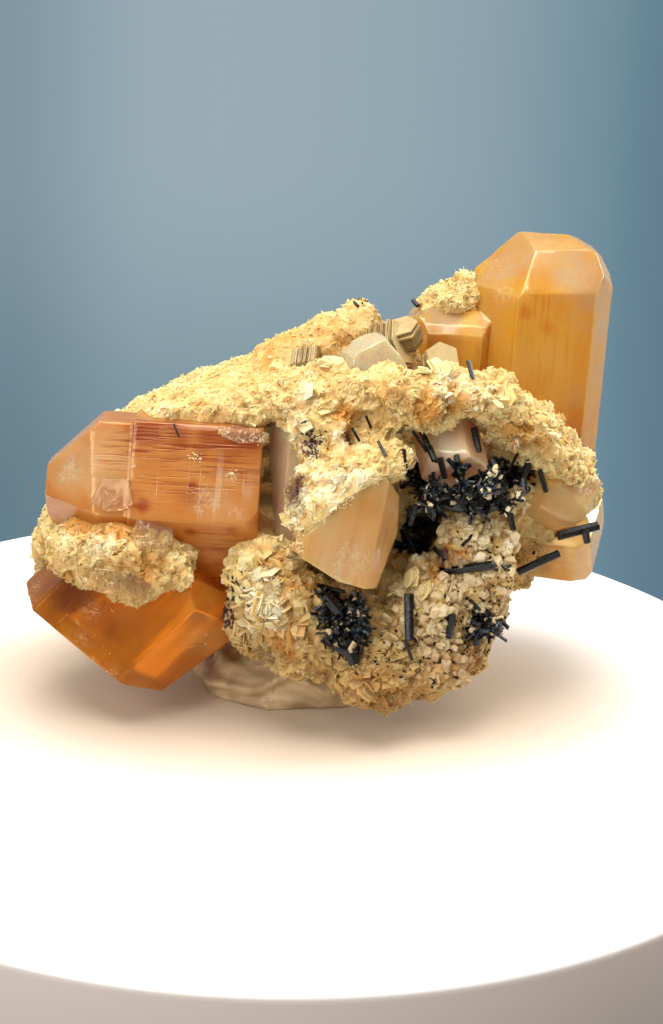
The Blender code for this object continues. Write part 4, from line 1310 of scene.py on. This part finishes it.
print("mica books")
micaMat = micaMaterial()
for name, stacks in books.items():
    draw = random.Random(len(name))
    stack = bmesh.new()
    stack.verts.layers.float.new("tone")
    for centre, axis, radius, deep in stacks:
        place = Matrix.Translation(Vector(centre) * mm) @ spaceOf(axis).to_4x4()
        rise = -deep / 2
        while rise < deep / 2:
            sheet = bmesh.new()
            thick = sheets["thick"] * draw.uniform(0.6, 1.6)
            size = radius * draw.uniform(0.9, 1.03)
            bmesh.ops.create_circle(sheet, segments=6, radius=size * 1.1 * mm, cap_ends=True)
            for vert in sheet.verts:
                vert.co *= draw.uniform(0.93, 1.05)
            thicken(sheet, thick * mm)
            aside = [draw.uniform(-sheets["slip"], sheets["slip"]) for _ in range(2)]
            slip = Matrix.Translation(Vector((*aside, rise)) * mm)
            bmesh.ops.transform(sheet, matrix=place @ slip, verts=sheet.verts[:])
            layer = sheet.verts.layers.float.new("tone")
            shade = draw.random()
            for vert in sheet.verts:
                vert[layer] = shade
            joinInto(stack, sheet)
            rise += thick + sheets["gap"] * draw.uniform(0.4, 1.8)
    piece = objectFrom(name + "_sheets", stack, micaMat)
    piece.data.shade_flat()
    settle(piece, "mica", name)


# Putty
putty = {
    "grid": 0.4,
    "smoothing": 6,
    "fold": 0.56,
    "lip": 0.5,  # how far the pressed lip stands out, and 0.8 of it for the crease under it
    "lipHeight": 2.4,
}
print("putty")
puttyMat = puttyMaterial()
puttyPiece = melted("putty_pad", "display_putty", puttyMat, putty["grid"])
relax = puttyPiece.modifiers.new("relax", "SMOOTH")
relax.iterations = putty["smoothing"]
bake(puttyPiece)
places, normals = coordinatesOf(puttyPiece.data), normalsOf(puttyPiece.data)
bands = [Vector((x * 0.18, y * 0.18, z * 0.75 + 0.12 * x)) for x, y, z in places]
folds = np.array([noise.noise(band) for band in bands])
footCalm = np.clip(places[:, 2], 0, 1)  # the foot stays flat
lift = footCalm * folds * putty["fold"]
lipLine = putty["lipHeight"] + 0.9 * np.sin(places[:, 0] * 0.33 + 1.0) + 0.5 * np.sin(places[:, 0] * 0.8)
overLip = places[:, 2] - lipLine
lift += putty["lip"] * np.exp(-((overLip / 0.45) ** 2))
lift -= putty["lip"] * 0.8 * np.exp(-(((overLip + 1.0) / 0.5) ** 2)) * footCalm
moveTo(puttyPiece.data, places + normals * lift[:, None])
puttyPiece.data.shade_smooth()
wear(puttyPiece.data, puttyMat)
settle(puttyPiece, "putty", "display_putty")


# Floor, backdrop and light
studio = {
    "floorRadius": 62.7,
    "floorThick": 14.0,
    "floorTone": (0.93, 0.91, 0.88),
    "floorPaintedShadow": (0.64, 0.51, 0.38),  # painted shadow, darkest right under the specimen
    "floorShadowReach": (64.0, 36.0),  # how far the painted shadow reaches, across and along
    "floorRim": 1.3,
    "floorWall": (0.54, 0.47, 0.43),
    "backdropAcross": [  # from the left of the picture to its right
        (0.0, (0.223, 0.309, 0.371)), (0.2, (0.314, 0.407, 0.462)), (0.6, (0.292, 0.385, 0.44)),
        (0.77, (0.231, 0.332, 0.392)), (0.9, (0.16, 0.262, 0.325)), (1.0, (0.119, 0.202, 0.27)),
    ],
    "backdropLow": (0.58, 0.69, 0.70),  # it multiplies the colours at the lower left
    "ambient": (1.0, 0.95, 0.88),
    "ambientStrength": 0.47,
    "lampAim": (0, 0, 22),
    "lamps": [
        # place, size, watts
        ((-40, -40, 330), (240, 240), 1.5),
        ((-200, -290, 200), (200, 260), 0.9),
        ((270, 120, 170), (90, 240), 0.9),
    ],
}
print("studio")
floorBody = bmesh.new()
wide, thick = studio["floorRadius"] * mm, studio["floorThick"] * mm
bmesh.ops.create_cone(
    floorBody, cap_ends=True, segments=160, radius1=wide, radius2=wide, depth=thick,
    matrix=Matrix.Translation((0, 0, -thick / 2)),
)
rims = [edge for edge in floorBody.edges if edge.calc_face_angle(0) > 1.0]
bmesh.ops.bevel(
    floorBody, geom=rims, offset=studio["floorRim"] * mm, segments=4, profile=0.5, affect="EDGES",
    material=-1,
)
floorMat, floorTree, floorShader = newMaterial("pale floor")
floorSpace = objectSpace(floorTree)
floorParts = addNode(floorTree, "ShaderNodeSeparateXYZ")
floorTree.links.new(floorSpace, floorParts.inputs[0])
# painted shadow: the floor turns darker and warmer in an oval around the specimen
reach = studio["floorShadowReach"]
beside = calc(floorTree, "DIVIDE", floorParts.outputs["X"], reach[0])
before = calc(floorTree, "DIVIDE", calc(floorTree, "ADD", floorParts.outputs["Y"], 3.0), reach[1])
away = calc(floorTree, "MULTIPLY_ADD", beside, beside, calc(floorTree, "MULTIPLY", before, before))
farShare = rampOf(floorTree, away, 0.1, 0.9)
tinted = blendColours(floorTree, farShare, studio["floorPaintedShadow"], studio["floorTone"])
onWall = rampOf(floorTree, floorParts.outputs["Z"], -0.5, -1.0)
tinted = blendColours(floorTree, onWall, tinted, studio["floorWall"])
setInputs(floorTree, floorShader, {"Base Color": tinted, "Roughness": 0.5})
floor = objectFrom("floor", floorBody, floorMat)
floor.data.shade_smooth()
floor.data.set_sharp_from_angle(angle=math.radians(30))

world = bpy.data.worlds.new("studio")
world.use_nodes = True
bpy.context.scene.world = world
sky = world.node_tree
backdrop = sky.nodes["Background"]
glowLight = addNode(sky, "ShaderNodeBackground")
setInputs(sky, glowLight, {"Color": studio["ambient"], "Strength": studio["ambientStrength"]})
around = addNode(sky, "ShaderNodeTexCoord").outputs["Generated"]
gaze = addNode(sky, "ShaderNodeSeparateXYZ")
sky.links.new(around, gaze.inputs[0])
across = addNode(sky, "ShaderNodeMapRange")
setInputs(sky, across, {"Value": gaze.outputs["X"], "From Min": -0.2, "From Max": 0.2})
tones = addNode(sky, "ShaderNodeValToRGB")
sky.links.new(across.outputs[0], tones.inputs[0])
tones.color_ramp.interpolation = "CARDINAL"
stops = tones.color_ramp.elements
for index, (at, stopColour) in enumerate(studio["backdropAcross"]):
    stop = stops[index] if index < 2 else stops.new(at)
    stop.position = at
    stop.color = (*stopColour, 1.0)
dimmer = blendColours(sky, 1.0, tones.outputs["Color"], studio["backdropLow"], "MULTIPLY")
low = rampOf(sky, gaze.outputs["Z"], -0.09, -0.32)
left = rampOf(sky, gaze.outputs["X"], 0.18, 0.04)
lowLeft = calc(sky, "MULTIPLY", low, left)
sky.links.new(blendColours(sky, lowLeft, tones.outputs["Color"], dimmer), backdrop.inputs["Color"])
path = addNode(sky, "ShaderNodeLightPath")
both = addNode(sky, "ShaderNodeMixShader")
sky.links.new(path.outputs["Is Camera Ray"], both.inputs[0])
sky.links.new(glowLight.outputs[0], both.inputs[1])
sky.links.new(backdrop.outputs[0], both.inputs[2])
sky.links.new(both.outputs[0], sky.nodes["World Output"].inputs["Surface"])

for index, (place, size, watts) in enumerate(studio["lamps"]):
    lampData = bpy.data.lights.new(f"softbox_{index}", "AREA")
    lampData.shape = "RECTANGLE"
    lampData.size, lampData.size_y = size[0] * mm, size[1] * mm
    lampData.energy = watts
    lamp = linkToScene(bpy.data.objects.new(f"softbox_{index}", lampData))
    lamp.location = Vector(place) * mm
    aim = Vector(studio["lampAim"]) * mm - lamp.location
    lamp.rotation_euler = aim.to_track_quat("-Z", "Y").to_euler()

bpy.context.scene.view_settings.view_transform = "Standard"

# What only served the scatter goes
for kinds in keptKinds:
    for thing in list(kinds.objects):
        bpy.data.objects.remove(thing)
    bpy.data.collections.remove(kinds)

print("done")
